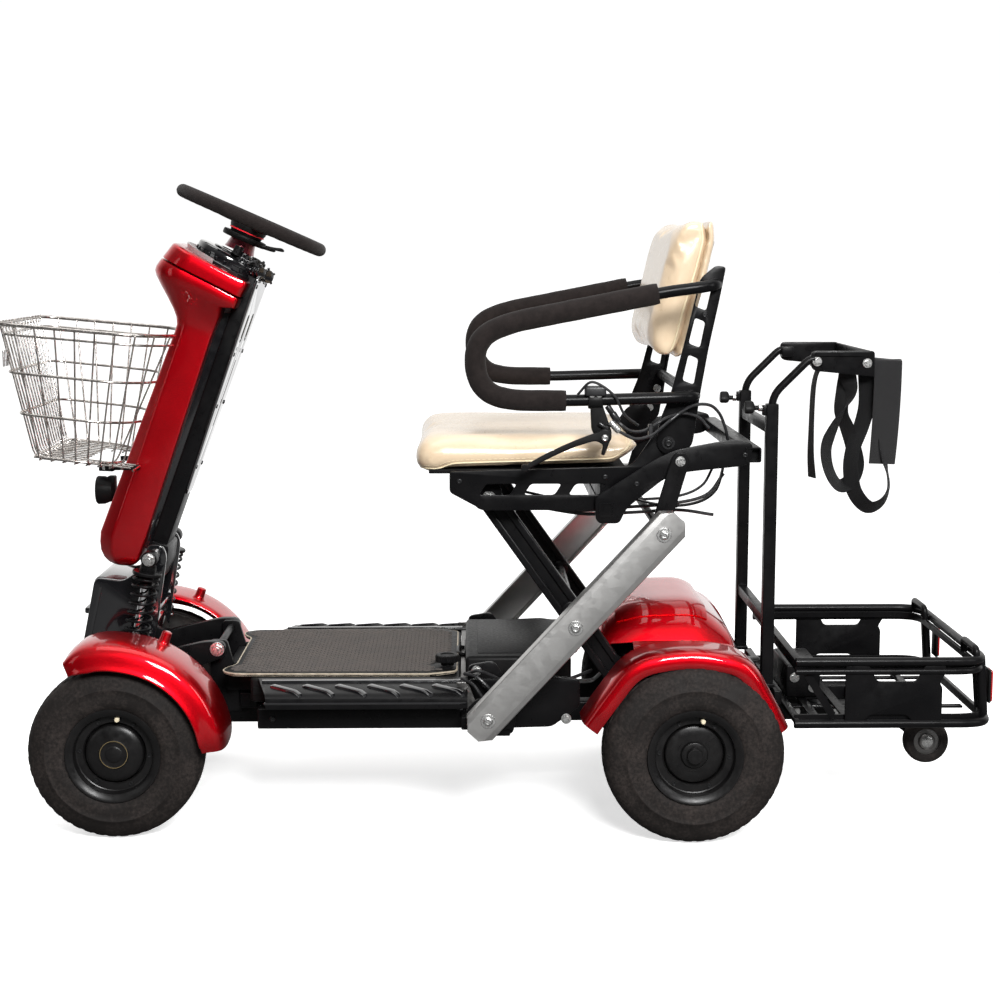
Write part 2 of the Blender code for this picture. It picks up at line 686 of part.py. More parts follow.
def build_front_fender(side, sign):
    """Curved guard swept from behind the wheel, over its top, to its front."""
    profile = [(radius, -sign * y) for radius, y in FENDER_PROFILE]
    fender = lathe(profile, xyz(FRONT_AXLE), (0, -1, 0), FENDER_START, 12,
                   angle=112.0, wall=3.2)
    part("front_fender_" + side, fender, RED, "kingpin_" + side)


def build_wheel(kind, side, sign, axle, track_y, tyre_r):
    shoulder = SHOULDER_R * (tyre_r / TYRE_DRAWN_R)
    # inner half of the tyre section (radius, distance inboard of the wheel centre)
    half = [(60.8, 30), (68.8, 36), (88, TYRE_HALF_W), (shoulder, 39), (tyre_r, 16)]
    tyre = [(radius, -y) for radius, y in half] + half[::-1]
    joint_name = f"axle_{kind}_{side}"
    for piece, profile, finish in (("tyre", tyre, RUBBER), ("rim", RIM_PROFILE, GLOSS)):
        solid = lathe(profile, xyz(axle, sign * track_y), (0, sign, 0), (0, 0, -1), WHEEL_STEPS)
        part(f"{kind}_{piece}_{side}", solid, finish, joint_name)


# --------------------------------------------------------------------- tiller
COLUMN_HEAD = Vector((-317, 804))
COLUMN_FOOT = Vector((-482, 355))
COLUMN_DOWN = (COLUMN_FOOT - COLUMN_HEAD).normalized()
COLUMN_FORWARD = Vector((COLUMN_DOWN.y, -COLUMN_DOWN.x))
COLUMN_TOP = COLUMN_HEAD + COLUMN_DOWN * 8
COLUMN_DEPTH = 26.0
COLUMN_CLEARANCE = 0.6                     # between the column and the cover
SHROUD_HEAD = chamfered([(-443, 862), (-472, 826), (-468, 800), (-360, 773), (-331, 802)], 7)
SHROUD_BODY = chamfered([(-470, 812), (-452, 782), (-437, 748), (-566, 424), (-560, 386),
                         (-527, 378), (-503, 392), (-374, 762), (-366, 785)], 6)
SHROUD_HOLLOW = [(-440, 800), (-426, 748), (-552, 424), (-549, 394), (-527, 387), (-480, 398),
                 (-355, 766), (-372, 780)]
LAMP_BOX = (-576, -549, 22, 468, 498, 4)
LAMP_Z = 483
BASKET_OUTLINE = [(-690, 748), (-420, 724), (-500, 526), (-648, 544)]
BASKET_HOLLOW = [(-686, 760), (-424, 760), (-504, 530), (-644, 548)]
BASKET_NOTCH = [(-448, 800), (-300, 800), (-300, 500), (-571, 500)]


def column_point(end, down, forward):
    return tuple(end + COLUMN_DOWN * down + COLUMN_FORWARD * forward)


def build_tiller_column():
    column = [column_point(COLUMN_TOP, 0, 0), column_point(COLUMN_FOOT, 0, 0),
              column_point(COLUMN_FOOT, 0, COLUMN_DEPTH),
              column_point(COLUMN_TOP, 0, COLUMN_DEPTH)]
    foot = chamfered(bar((-478, 392), TILLER_PIVOT, 30, 13), 7)
    solid = fuse(slab(column, 35), slab(foot, 44), cross_rod(TILLER_PIVOT, 61, 7, 12))
    part("tiller_column", solid, BLACK, "pivot_tiller")


def build_tiller_cover():
    """Deep head, narrow waist and long front panel, hollowed out round the column."""
    front = COLUMN_DEPTH + COLUMN_CLEARANCE
    channel = [column_point(COLUMN_TOP, -40, -60), column_point(COLUMN_TOP, -40, front),
               column_point(COLUMN_FOOT, 6, front), column_point(COLUMN_FOOT, 6, -60)]
    shroud = fuse(slab(SHROUD_HEAD, 78), slab(SHROUD_BODY, 57))
    shroud = cut(shroud, slab(channel, 35.8))
    shroud = cut(shroud, slab(SHROUD_HOLLOW, 53))
    part("tiller_cover", shroud, RED, "pivot_tiller")


def build_headlight():
    lens = cylinder((-577.5, 0, LAMP_Z), (-570, 0, LAMP_Z), 12, 12)
    part("headlight", fuse(crossbar(*LAMP_BOX), lens), LAMP_LENS, "pivot_tiller")


def build_basket():
    """Thin open-topped shell, notched round the tiller."""
    shell = cut(slab(BASKET_OUTLINE, 148), slab(BASKET_HOLLOW, 144))
    part("basket", cut(shell, slab(BASKET_NOTCH, 61)), CHROME, "pivot_tiller")


# ---------------------------------------------------------------- control pod
POD_CENTRE = Vector(xyz((-372.0, 823.4)))        # on the sloping top of the head
HEAD_NORMAL = Vector((0.4787, 0, 0.8780))
HEAD_SLOPE = Vector((0.8780, 0, -0.4787))        # down the slope, towards the rider
CONTROL_Y = 33                                   # midplane to dial and to horn


def pod_point(height, down=0, y=0):
    return POD_CENTRE + HEAD_NORMAL * height + HEAD_SLOPE * down + Vector((0, y, 0))


def build_control_pod():
    pod = fuse(cylinder(pod_point(1.0), pod_point(22), 54, 20),
               cylinder(pod_point(20), pod_point(27), 46, 20, 40))
    part("control_pod", pod, GLOSS, "pivot_tiller")


def build_speed_dial():
    base = pod_point(27.4, 8, -CONTROL_Y)
    joint("turn_speed_dial", base, "pivot_tiller")
    dial = cylinder(base, base + HEAD_NORMAL * 14, 8, 12)
    part("speed_dial", dial, PLASTIC, "turn_speed_dial")


def build_horn_button():
    base = pod_point(27.0, 8, CONTROL_Y)
    joint("press_horn", base, "pivot_tiller")
    button = cylinder(base + HEAD_NORMAL * 3.5, base + HEAD_NORMAL * 10, 7, 12)
    part("horn_button", button, PLASTIC, "press_horn")


# ------------------------------------------------------------- steering wheel
STEER_ORIGIN = Vector(xyz(STEER_CENTRE))
STEER_AXIS = Vector((0.4003, 0, 0.9164))         # up the steering axis
STEER_DOWN = Vector((0.9164, 0, -0.4003))        # in the wheel's plane, rearwards and down
STEER_R = 110.5
STEER_TUBE_R = 10.5
# (radius, height) of the ring that carries the throttle levers
COLLAR_PROFILE = [(26, -33), (33, -33), (33, -25), (26, -25)]


def steer_point(height, outward=Vector((0, 0, 0))):
    return STEER_ORIGIN + STEER_AXIS * height + outward


def build_steering_wheel():
    pieces = [lathe(circle((STEER_R, 0), STEER_TUBE_R, 8), STEER_ORIGIN, STEER_AXIS,
                    STEER_DOWN, 24),
              cylinder(steer_point(-34), steer_point(2), 24, 14),            # boss
              cylinder(steer_point(-48.5), steer_point(-30), 15, 12, 20)]    # stem
    for k in range(3):
        angle = math.radians(120 * k + 180)
        spoke = STEER_DOWN * math.cos(angle) + Vector((0, 1, 0)) * math.sin(angle)
        pieces.append(cylinder(steer_point(-14, spoke * 15),
                               steer_point(0, spoke * (STEER_R - 2)), 6.5, 8))
    part("steering_wheel", fuse(*pieces), PLASTIC, "steer_axis")


def build_throttle_lever():
    levers = []
    for sign in SIGNS:
        outward = (STEER_DOWN * 0.62 + Vector((0, sign * 0.785, 0))).normalized()
        levers.append(cylinder(steer_point(-29, outward * 30),
                               steer_point(-26, outward * 88), 3.6, 8))
    collar = lathe(COLLAR_PROFILE, STEER_ORIGIN, STEER_AXIS, STEER_DOWN, 14)
    part("throttle_lever", fuse(collar, *levers), PLASTIC, "steer_axis")


# --------------------------------------------------------------- scissor lift
INNER_ARM_R = 18                           # half width and end radius
OUTER_HALF_LENGTH = 212.0
OUTER_HALF_WIDTH = 24.5
OUTER_CORNER = 14.0
OUTER_FLANGE = 4                           # flange left above and below the pocket
OUTER_DIRECTION = (Vector(OUTER_TOP) - Vector(OUTER_LOW)).normalized()
OUTER_NORMAL = Vector((-OUTER_DIRECTION.y, OUTER_DIRECTION.x))


def build_inner_arms():
    pieces = [side_plate(sign, capsule(INNER_LOW, INNER_TOP, INNER_ARM_R), 165, 185)
              for sign in SIGNS]
    up = (Vector(INNER_TOP) - Vector(INNER_LOW)).normalized()
    for point in (Vector(INNER_LOW) + up * 82, Vector(INNER_TOP) - up * 62):
        pieces.append(cross_rod(point, 176, 8, 10))
    pieces.append(cross_rod(SCISSOR_PIVOT, 274, 9, 12))
    part("inner_arms", fuse(*pieces), BLACK, "pivot_inner_arms")


def outer_arm_points(offsets):
    """Side-view points from (along, across) offsets about the scissor pivot."""
    return [tuple(Vector(SCISSOR_PIVOT) + OUTER_DIRECTION * along + OUTER_NORMAL * across)
            for along, across in offsets]


def build_outer_arm(side, sign):
    """Channel with its flanges facing the midplane, and three bolts."""
    length = OUTER_HALF_LENGTH
    width = OUTER_HALF_WIDTH
    short = length - OUTER_CORNER
    narrow = width - OUTER_CORNER
    web = outer_arm_points([(-short, -width), (short, -width), (length, -narrow),
                            (length, narrow), (short, width), (-short, width),
                            (-length, narrow), (-length, -narrow)])
    reach = length + 9
    inside = width - OUTER_FLANGE
    pocket = outer_arm_points([(-reach, -inside), (reach, -inside), (reach, inside),
                               (-reach, inside)])
    arm = cut(side_plate(sign, web, 276, 302), side_plate(sign, pocket, 270, 298))
    bolts = [side_rod(sign, point, 276.5, 307, 9, 12)
             for point in (SCISSOR_PIVOT, OUTER_LOW, OUTER_TOP)]
    part("outer_arm_" + side, fuse(arm, *bolts), GALVANISED, "pivot_outer_arms")


# ----------------------------------------------------------------------- seat
SEAT_RAIL = (chamfered([(-30, 538), (-30, 508), (18, 482), (188, 482), (205, 500), (286, 545),
                        (303, 572), (300, 592), (281, 598), (262, 592), (235, 553),
                        (225, 545)], 6), 221, 225)
SEAT_CRANK = (chamfered([(177, 502), (178, 470), (184, 464), (212, 464), (222, 486),
                         (275, 528), (300, 537), (335, 541), (386, 546), (397, 551),
                         (402, 578), (375, 585), (330, 577), (290, 569), (262, 556)], 6),
              231, 235)
SEAT_LUG = (chamfered([(-14, 528), (-14, 502), (14, 478), (42, 480), (46, 508), (30, 528)], 6),
            191, 197)
SEAT_SLOTS = [chamfered([(x, 504), (x + 44, 504), (x + 54, 520), (x + 10, 520)], 5)
              for x in (12, 76, 140)]
SEAT_BARS = ((-26, -8, 223, 506, 526), (18, 40, 223, 519, 531), (183, 204, 234.5, 473, 494),
             (391, 413, 234.5, 551.5, 573), (-24, 198, 8, 509, 523),
             (185, 199, 222, 490.5, 522))
SEAT_CUSHION = chamfered([(-82, 556), (-79, 539), (214, 547), (243, 560), (252, 578),
                          (240, 584), (-70, 583)], 7)


def build_seat_frame():
    pieces = []
    for sign in SIGNS:
        slots = [side_plate(sign, slot, 215, 230) for slot in SEAT_SLOTS]
        pieces += [cut(side_plate(sign, *SEAT_RAIL), *slots), side_plate(sign, *SEAT_CRANK),
                   side_plate(sign, *SEAT_LUG)]
    pieces += [crossbar(*row) for row in SEAT_BARS]
    part("seat_frame", fuse(*pieces), BLACK, "pivot_seat")


def build_seat_cushion():
    part("seat_cushion", slab(SEAT_CUSHION, 217), VINYL, "pivot_seat")


def build_rear_links():
    pieces = [side_plate(sign, capsule(LINK_PIVOT, OUTER_TOP, 13), 238, 243.5)
              for sign in SIGNS]
    pieces.append(cross_rod(OUTER_TOP, 240, 6, 10))
    part("rear_links", fuse(*pieces), BLACK, "pivot_links")


# ------------------------------------------------------ backrest and armrests
BACK_FLANK = (chamfered([(323, 811), (345, 829), (359, 827), (352, 788), (337, 717),
                         (325, 647), (319, 600), (315, 575), (300, 563), (276, 562),
                         (264, 575), (268, 610), (283, 647), (301, 717)], 6), 226.3, 230)
BACK_SLOTS = [chamfered([(300 + i * 8, 668 + i * 52), (316 + i * 8, 662 + i * 52),
                         (322 + i * 9, 698 + i * 52), (308 + i * 8.5, 704 + i * 52)], 4)
              for i in range(3)]
ARMREST_Y = 250
# armrest tube from the top of the backrest, forward and back (x, from midplane, z)
ARMREST_PATH = [(347, 226, 803), (340, 244, 802), (316, ARMREST_Y, 798),
                (276, ARMREST_Y, 793), (60, ARMREST_Y, 751), (22, ARMREST_Y, 736),
                (6, ARMREST_Y, 712), (8, ARMREST_Y, 674), (26, ARMREST_Y, 650),
                (60, ARMREST_Y, 641.5), (136, ARMREST_Y, 641), (284, ARMREST_Y, 645),
                (312, 243, 646), (318, 226, 646)]
BRAKE_BRACKET = chamfered([(168, 640), (184, 640), (199, 596), (196, 582), (182, 580),
                           (170, 600)], 4)
BACK_CUSHION = chamfered([(263, 699), (259, 729), (299, 880), (325, 896), (350, 894),
                          (352, 866), (336.5, 800), (304, 699), (284, 690)], 7)
BRAKE_LEVER = chamfered([(196, 596), (180, 598), (140, 588), (75, 553), (72, 545), (80, 543),
                         (142, 574), (182, 580), (196, 584)], 3)


def armrest_path(sign):
    return [(x, sign * y, z) for x, y, z in ARMREST_PATH]


def build_backrest_frame():
    pieces = []
    for sign in SIGNS:
        slots = [side_plate(sign, slot, 220, 236) for slot in BACK_SLOTS]
        pieces.append(cut(side_plate(sign, *BACK_FLANK), *slots))
    # one closed loop runs through both armrests
    pieces.append(tube(armrest_path(-1) + armrest_path(1)[::-1], 8.3, 1, cyclic=True))
    # brake clamp and bracket on the left lower tube
    pieces.append(cylinder((166, -ARMREST_Y, 641.5), (184, -ARMREST_Y, 641.8), 12, 10))
    pieces.append(plate_xz(BRAKE_BRACKET, -256, -245))
    part("backrest_frame", fuse(*pieces), BLACK, "pivot_backrest")


def foam_path(sign, top_x, end_x, end_z):
    """Stretch of the armrest path between a point on its top run and one on its lower."""
    path = armrest_path(sign)
    (x0, y, z0), (x1, _, z1) = path[3:5]
    top_z = z0 + (top_x - x0) * (z0 - z1) / (x0 - x1)
    return [(top_x, y, top_z)] + path[4:10] + [(end_x, y, end_z)]


def build_armrest_foam(side, sign):
    sleeve = tube(foam_path(sign, 262, 134, 641), 14.4)
    core = tube(foam_path(sign, 275, 150, 641.1), 9.4)
    part("armrest_foam_" + side, cut(sleeve, core), FOAM, "pivot_backrest")


def build_backrest_cushion():
    part("backrest_cushion", slab(BACK_CUSHION, 170), VINYL, "pivot_backrest")


def build_brake_lever():
    part("brake_lever", plate_xz(BRAKE_LEVER, -266.5, -257), PLASTIC, "pivot_brake")


# ------------------------------------------------------------ anti-tip wheels
CASTER_PROFILE = [(0, 102), (12, 102), (30, 104), (34, 107), (34, 121), (30, 124), (12, 126),
                  (0, 126)]                # (radius, distance from midplane)


def build_anti_tip_wheels():
    pieces = [cross_rod(CASTER, 120, 5.9, 12)]
    for sign in SIGNS:
        profile = [(radius, sign * y) for radius, y in CASTER_PROFILE]
        pieces.append(lathe(profile, xyz(CASTER), (0, 1, 0), (1, 0, 0), 16))
    part("anti_tip_wheels", fuse(*pieces), RUBBER, "axle_anti_tip")


# ------------------------------------------------------------------- assembly
CENTRE_BUILDERS = (
    build_main_frame, build_tiller_base, build_deck, build_battery_pack, build_drive_unit,
    build_rear_cover, build_rear_carrier, build_mast_posts, build_mast_upper,
    build_suspension_arms, build_tiller_column, build_tiller_cover, build_headlight,
    build_control_pod, build_speed_dial, build_horn_button, build_basket,
    build_steering_wheel, build_throttle_lever, build_inner_arms, build_seat_frame,
    build_seat_cushion, build_rear_links, build_backrest_frame, build_backrest_cushion,
    build_brake_lever, build_anti_tip_wheels,
)
SIDE_BUILDERS = (
    build_side_step, build_rear_fender, build_tail_light, build_clamp_knob, build_shock,
    build_knuckle, build_front_fender, build_outer_arm, build_armrest_foam,
)
for build in CENTRE_BUILDERS:
    build()
for side_name, side_sign in SIDES:
    for build in SIDE_BUILDERS:
        build(side_name, side_sign)
    build_wheel("front", side_name, side_sign, FRONT_AXLE, FRONT_TRACK_Y, FRONT_TYRE_R)
    build_wheel("rear", side_name, side_sign, REAR_AXLE, REAR_TRACK_Y, REAR_TYRE_R)
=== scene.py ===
"""Looks of a folding four-wheel mobility scooter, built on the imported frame.

Drawn in millimetres: the front is at -X, the left side at -Y and the ground at Z = 0.
SHIFT_X centres the drawing; objects are built in metres.
"""
import bpy
import bmesh
import json
from math import atan2, cos, degrees, exp, hypot, pi, radians, sin
from mathutils import Vector, Matrix
from mathutils.bvhtree import BVHTree


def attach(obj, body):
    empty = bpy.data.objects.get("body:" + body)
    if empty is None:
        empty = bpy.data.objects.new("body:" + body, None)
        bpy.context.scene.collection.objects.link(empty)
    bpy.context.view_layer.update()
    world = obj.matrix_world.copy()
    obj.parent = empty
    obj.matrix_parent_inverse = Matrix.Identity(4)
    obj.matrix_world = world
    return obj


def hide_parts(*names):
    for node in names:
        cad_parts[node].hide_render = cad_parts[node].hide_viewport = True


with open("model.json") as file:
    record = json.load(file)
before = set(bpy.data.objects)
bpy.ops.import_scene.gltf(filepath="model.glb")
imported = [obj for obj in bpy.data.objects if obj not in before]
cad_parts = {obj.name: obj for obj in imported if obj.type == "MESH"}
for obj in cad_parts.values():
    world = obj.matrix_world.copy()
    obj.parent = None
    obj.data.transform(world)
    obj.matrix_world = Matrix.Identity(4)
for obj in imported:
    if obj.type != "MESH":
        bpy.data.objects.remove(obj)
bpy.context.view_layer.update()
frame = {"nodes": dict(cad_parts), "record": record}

MM = 0.001
SHIFT_X = -43.7
SIDES = (("left", -1), ("right", 1))
Y_AXIS, Z_AXIS = (0, 1, 0), (0, 0, 1)

# driving places, as (x, z)
FRONT_AXLE, REAR_AXLE = (-517, 127.5), (320.7, 131.5)
OUTER_FOOT, INNER_FOOT = (23.8, 193.1), (266.4, 157.6)     # scissor pivots
OUTER_TOP, INNER_TOP = (268.9, 457.8), (26.6, 495)
SCISSOR_PIN = (146.5, 326.3)
LINK_TOP = (297, 554)


# --- points, outlines and paths
def table(source):
    """Rows of numbers from text: spaces part the values, commas the rows."""
    if not isinstance(source, str):
        return source
    return [tuple(map(float, row.split())) for row in source.split(",")]


def metres(point):
    """Drawing millimetres to scene metres."""
    return ((point[0] + SHIFT_X) * MM, point[1] * MM, point[2] * MM)


def millimetres(point):
    """Scene metres to drawing millimetres."""
    return Vector((point.x / MM - SHIFT_X, point.y / MM, point.z / MM))


def oval(radius, count, other=None):
    """Closed section with one radius, or with a second one along its other axis."""
    return [(radius * cos(2 * pi * i / count), (other or radius) * sin(2 * pi * i / count))
            for i in range(count)]


def soften(points, cuts, steps=3, closed=True):
    """Round the corners of an outline; cuts is one cut-back or one per corner."""
    out, count = [], len(points)
    for i in range(count):
        corner = Vector(points[i])
        cut = cuts[i] if isinstance(cuts, (list, tuple)) else cuts
        if cut <= 0 or (not closed and i in (0, count - 1)):
            out.append(tuple(corner))
            continue
        back = Vector(points[i - 1]) - corner
        ahead = Vector(points[(i + 1) % count]) - corner
        start = corner + back.normalized() * min(cut, back.length * 0.48)
        end = corner + ahead.normalized() * min(cut, ahead.length * 0.48)
        for j in range(steps + 1):
            t = j / steps
            out.append(tuple(start * (1 - t) ** 2 + corner * 2 * t * (1 - t) + end * t * t))
    return out


def rounded(text, steps=3, closed=True):
    """Softened outline from rows whose last column is the corner's cut-back."""
    rows = table(text)
    return soften([row[:-1] for row in rows], [row[-1] for row in rows], steps, closed)


def spline(points, per=8):
    """Catmull-Rom curve through the points."""
    pts = [Vector(p) for p in table(points)]
    pts = [pts[0] * 2 - pts[1]] + pts + [pts[-1] * 2 - pts[-2]]
    out = []
    for i in range(1, len(pts) - 2):
        before, start, end, after = pts[i - 1:i + 3]
        for j in range(per):
            t = j / per
            out.append(0.5 * ((2 * start) + (end - before) * t
                              + (2 * before - 5 * start + 4 * end - after) * t * t
                              + (3 * start - before - 3 * end + after) * t ** 3))
    out.append(pts[-2])
    return [tuple(p) for p in out]


def densify(points, step):
    """Split every stretch of a path into pieces no shorter than the step."""
    out = []
    for start, end in zip(points[:-1], points[1:]):
        start, end = Vector(start), Vector(end)
        count = max(1, int((end - start).length / step))
        out += [start + (end - start) * i / count for i in range(count)]
    return out + [Vector(points[-1])]


def capsule(start, end, radius, steps=12):
    """Outline of a bar with half-round ends."""
    lean = atan2(end[1] - start[1], end[0] - start[0])
    out = []
    for centre, first in ((start, lean + pi / 2), (end, lean - pi / 2)):
        for i in range(steps + 1):
            angle = first + pi * i / steps
            out.append((centre[0] + radius * cos(angle), centre[1] + radius * sin(angle)))
    return out


def between(values, share):
    """Value at a share (0 to 1) of the way along an evenly spaced list."""
    place = share * (len(values) - 1)
    i = min(int(place), len(values) - 2)
    return values[i] + (values[i + 1] - values[i]) * (place - i)


def square_to(vector, axis):
    """The vector's unit part at right angles to a unit axis."""
    return (vector - axis * vector.dot(axis)).normalized()


def tangent(points, i):
    return (points[min(i + 1, len(points) - 1)] - points[max(i - 1, 0)]).normalized()


def frame_axes(axis, ref=Z_AXIS):
    """Two unit axes square to the given one, then that axis."""
    along = Vector(axis).normalized()
    side = Vector(ref)
    if abs(side.normalized().dot(along)) > 0.95:
        side = Vector((1, 0, 0)) if abs(along.x) < 0.9 else Vector(Y_AXIS)
    side = square_to(side, along)
    return side, along.cross(side), along


def frame_at(origin, *axes):
    """Matrix that lays local X, Y and Z along the given axes at the origin."""
    return Matrix.Translation(origin) @ Matrix(axes).transposed().to_4x4()


def path_frames(path, cyclic=False, up=None):
    """Points, directions and normals along a path; up fixes the normals."""
    points = [Vector(p) for p in path]
    count = len(points)
    if cyclic:
        tangents = [(points[(i + 1) % count] - points[i - 1]).normalized() for i in range(count)]
    else:
        tangents = [tangent(points, i) for i in range(count)]
    if up is not None:
        return points, tangents, [square_to(Vector(up), t) for t in tangents]
    ref = Vector(Z_AXIS) if abs(tangents[0].z) < 0.9 else Vector((1, 0, 0))
    normals = [square_to(ref, tangents[0])]
    for last, now in zip(tangents[:-1], tangents[1:]):
        normals.append(square_to(last.rotation_difference(now) @ normals[-1], now))
    return points, tangents, normals


# Fastener heads: share of the radius, share of the height, 1 where the ring is hexagonal.
HEADS = {
    'button': """0 0, 1 0, 1 0.18, 0.93 0.5, 0.76 0.84, 0.58 1, 0.5 1,
        0.46 0.95 1, 0.45 0.35 1, 0 0.3""",
    'cap': "0 0, 1 0, 1 0.88, 0.92 1, 0.62 1, 0.58 0.95 1, 0.56 0.35 1, 0 0.33",
    'hex': "0 0, 1 0 1, 1 0.8 1, 0.86 1, 0 1",
    'nut': "0 0, 1 0 1, 1 0.8 1, 0.85 1, 0.55 1, 0.52 1.5, 0 1.55",
    'pan': "0 0, 1 0, 0.97 0.35, 0.8 0.75, 0.5 1, 0 1.03",
}


class Kit:
    """Collects shells, in drawing millimetres, into one mesh object."""

    def __init__(self):
        self.verts, self.faces, self.face_mats = [], [], []

    def put(self, verts, faces, mat=0):
        first = len(self.verts)
        self.verts += [tuple(v) for v in verts]
        self.faces += [tuple(first + i for i in face) for face in faces]
        self.face_mats += [mat] * len(faces)

    def put_bmesh(self, bm, verts, mat):
        bm.verts.index_update()
        self.put(verts, [[v.index for v in f.verts] for f in bm.faces], mat)
        bm.free()

    def mirror(self):
        """Copy everything so far to the other side (Y)."""
        first = len(self.verts)
        self.verts += [(x, -y, z) for x, y, z in self.verts]
        self.faces += [tuple(i + first for i in reversed(face)) for face in self.faces]
        self.face_mats *= 2

    def make(self, name, materials, body, slot, *stands, sharp=32):
        """Build the object; stands are the CAD nodes it replaces."""
        mesh = bpy.data.meshes.new(name)
        mesh.from_pydata([metres(p) for p in self.verts], [], self.faces)
        for material in materials:
            mesh.materials.append(material)
        mesh.polygons.foreach_set("material_index", self.face_mats)
        bm = bmesh.new()
        bm.from_mesh(mesh)
        bmesh.ops.recalc_face_normals(bm, faces=bm.faces)
        bm.to_mesh(mesh)
        bm.free()
        mesh.shade_smooth()
        mesh.set_sharp_from_angle(angle=radians(sharp))
        ob = bpy.data.objects.new(name, mesh)
        bpy.context.scene.collection.objects.link(ob)
        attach(ob, body)
        if stands:
            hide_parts(*stands)

    def box(self, x0, x1, y0, y1, z0, z1, bevel=0.8, steps=2, mat=0, place=None):
        size = Vector((abs(x1 - x0), abs(y1 - y0), abs(z1 - z0)))
        bm = bmesh.new()
        bmesh.ops.create_cube(bm, size=1.0)
        bmesh.ops.scale(bm, vec=size, verts=bm.verts)
        middle = Vector((x0 + x1, y0 + y1, z0 + z1)) / 2
        bmesh.ops.translate(bm, vec=middle, verts=bm.verts)
        bmesh.ops.bevel(bm, geom=list(bm.edges), offset=min(bevel, 0.45 * min(size)),
                        segments=steps, profile=0.5, affect='EDGES')
        if place is not None:
            bm.transform(place)
        self.put_bmesh(bm, [v.co.copy() for v in bm.verts], mat)

    def boxes(self, text, sign=1):
        """Rows of x0 x1 y0 y1 z0 z1 [bevel [steps [mat]]]; Y is multiplied by sign."""
        for x0, x1, y0, y1, z0, z1, *rest in table(text):
            bevel, steps, mat = rest + [0.8, 2, 0][len(rest):]
            self.box(x0, x1, sign * y0, sign * y1, z0, z1, bevel, int(steps), int(mat))

    def turn(self, profile, origin, axis, steps=40, mat=0, close=False, shape=None):
        """Turn (radius, height[, hexagonal]) rows about an axis.

        shape(row, angle, radius, height) may change each point.
        """
        side, other, along = frame_axes(axis)
        origin = Vector(origin)
        verts, rows = [], []
        for j, (radius, height, *hexagonal) in enumerate(table(profile)):
            if radius < 1e-6:
                rows.append([len(verts)])
                verts.append(origin + along * height)
                continue
            row = []
            for i in range(steps):
                angle = 2 * pi * i / steps
                reach, rise = radius, height
                if hexagonal:
                    off = (degrees(angle) % 60) - 30
                    reach = radius * cos(radians(30)) / cos(radians(off))
                if shape:
                    reach, rise = shape(j, angle, reach, rise)
                row.append(len(verts))
                verts.append(origin + side * (reach * cos(angle)) + other * (reach * sin(angle))
                             + along * rise)
            rows.append(row)
        faces = []
        pairs = list(zip(rows[:-1], rows[1:]))
        if close:
            pairs.append((rows[-1], rows[0]))
        for low, high in pairs:
            if len(low) == 1 and len(high) == 1:
                continue
            for i in range(steps):
                j = (i + 1) % steps
                if len(low) == 1:
                    faces.append((low[0], high[i], high[j]))
                elif len(high) == 1:
                    faces.append((low[i], high[0], low[j]))
                else:
                    faces.append((low[i], high[i], high[j], low[j]))
        self.put(verts, faces, mat)

    def rod(self, start, end, radius, bevel=0.6, mat=0, steps=28):
        """A cylinder with softened rims."""
        start, end = Vector(start), Vector(end)
        length = (end - start).length
        bevel = min(bevel, length * 0.4, radius * 0.4)
        nick = bevel * 0.3
        half = [(0, 0), (radius - bevel, 0), (radius - nick, nick), (radius, bevel)]
        profile = half + [(r, length - h) for r, h in reversed(half)]
        self.turn(profile, start, end - start, steps=steps, mat=mat)

    def screw(self, kind, place, axis, radius, height, washer=0.0, mat=1):
        """A fastener head standing on a surface, with a washer of the given radius."""
        place, axis = Vector(place), Vector(axis).normalized()
        if washer:
            self.turn([(0, 0), (washer, 0), (washer, 0.9), (washer - 0.4, 1.3), (0, 1.3)],
                      place, axis, steps=24, mat=mat)
            place = place + axis * 1.2
        profile = [(r * radius, h * height, *hexagonal) for r, h, *hexagonal in table(HEADS[kind])]
        self.turn(profile, place, axis, steps=24, mat=mat)

    def sweep(self, path, section, cyclic=False, up=None, mat=0, ends='flat', scale=None):
        """Carry a section, a radius or a list of (a, b) offsets, along a path."""
        if not isinstance(section, list):
            section = oval(section, 10 if section < 3 else (14 if section < 7 else 20))
        points, tangents, normals = path_frames(path, cyclic, up)
        stations = list(zip(points, tangents, normals, scale or [1.0] * len(points)))
        reach = max(abs(a) for a, b in section)
        caps = []                       # (distance past the end, share of the size)
        if ends == 'round':
            angles = [pi / 2 * i / 4.6 for i in range(1, 5)]
            caps = [(reach * sin(angle), cos(angle)) for angle in angles]
        elif ends == 'bev':
            edge = min(0.8, reach * 0.3)
            caps = [(edge, 1 - edge / reach)]
        first, last = stations[0], stations[-1]
        for past, share in caps:
            stations.insert(0, (first[0] - first[1] * past, first[1], first[2], first[3] * share))
            stations.append((last[0] + last[1] * past, last[1], last[2], last[3] * share))
        rings = []
        for point, along, normal, size in stations:
            side = along.cross(normal)
            rings.append([point + normal * (a * size) + side * (b * size) for a, b in section])
        self.loft(rings, cyclic, mat)

    def loft(self, rings, close=False, mat=0):
        """Join rings of equal point count into one skin, capped unless it is closed."""
        width, count = len(rings[0]), len(rings)
        faces = []
        for i in range(count if close else count - 1):
            j = (i + 1) % count
            for a in range(width):
                b = (a + 1) % width
                faces.append((i * width + a, i * width + b, j * width + b, j * width + a))
        if not close:
            faces.append(tuple(range(width))[::-1])
            faces.append(tuple((count - 1) * width + a for a in range(width)))
        self.put([p for ring in rings for p in ring], faces, mat)

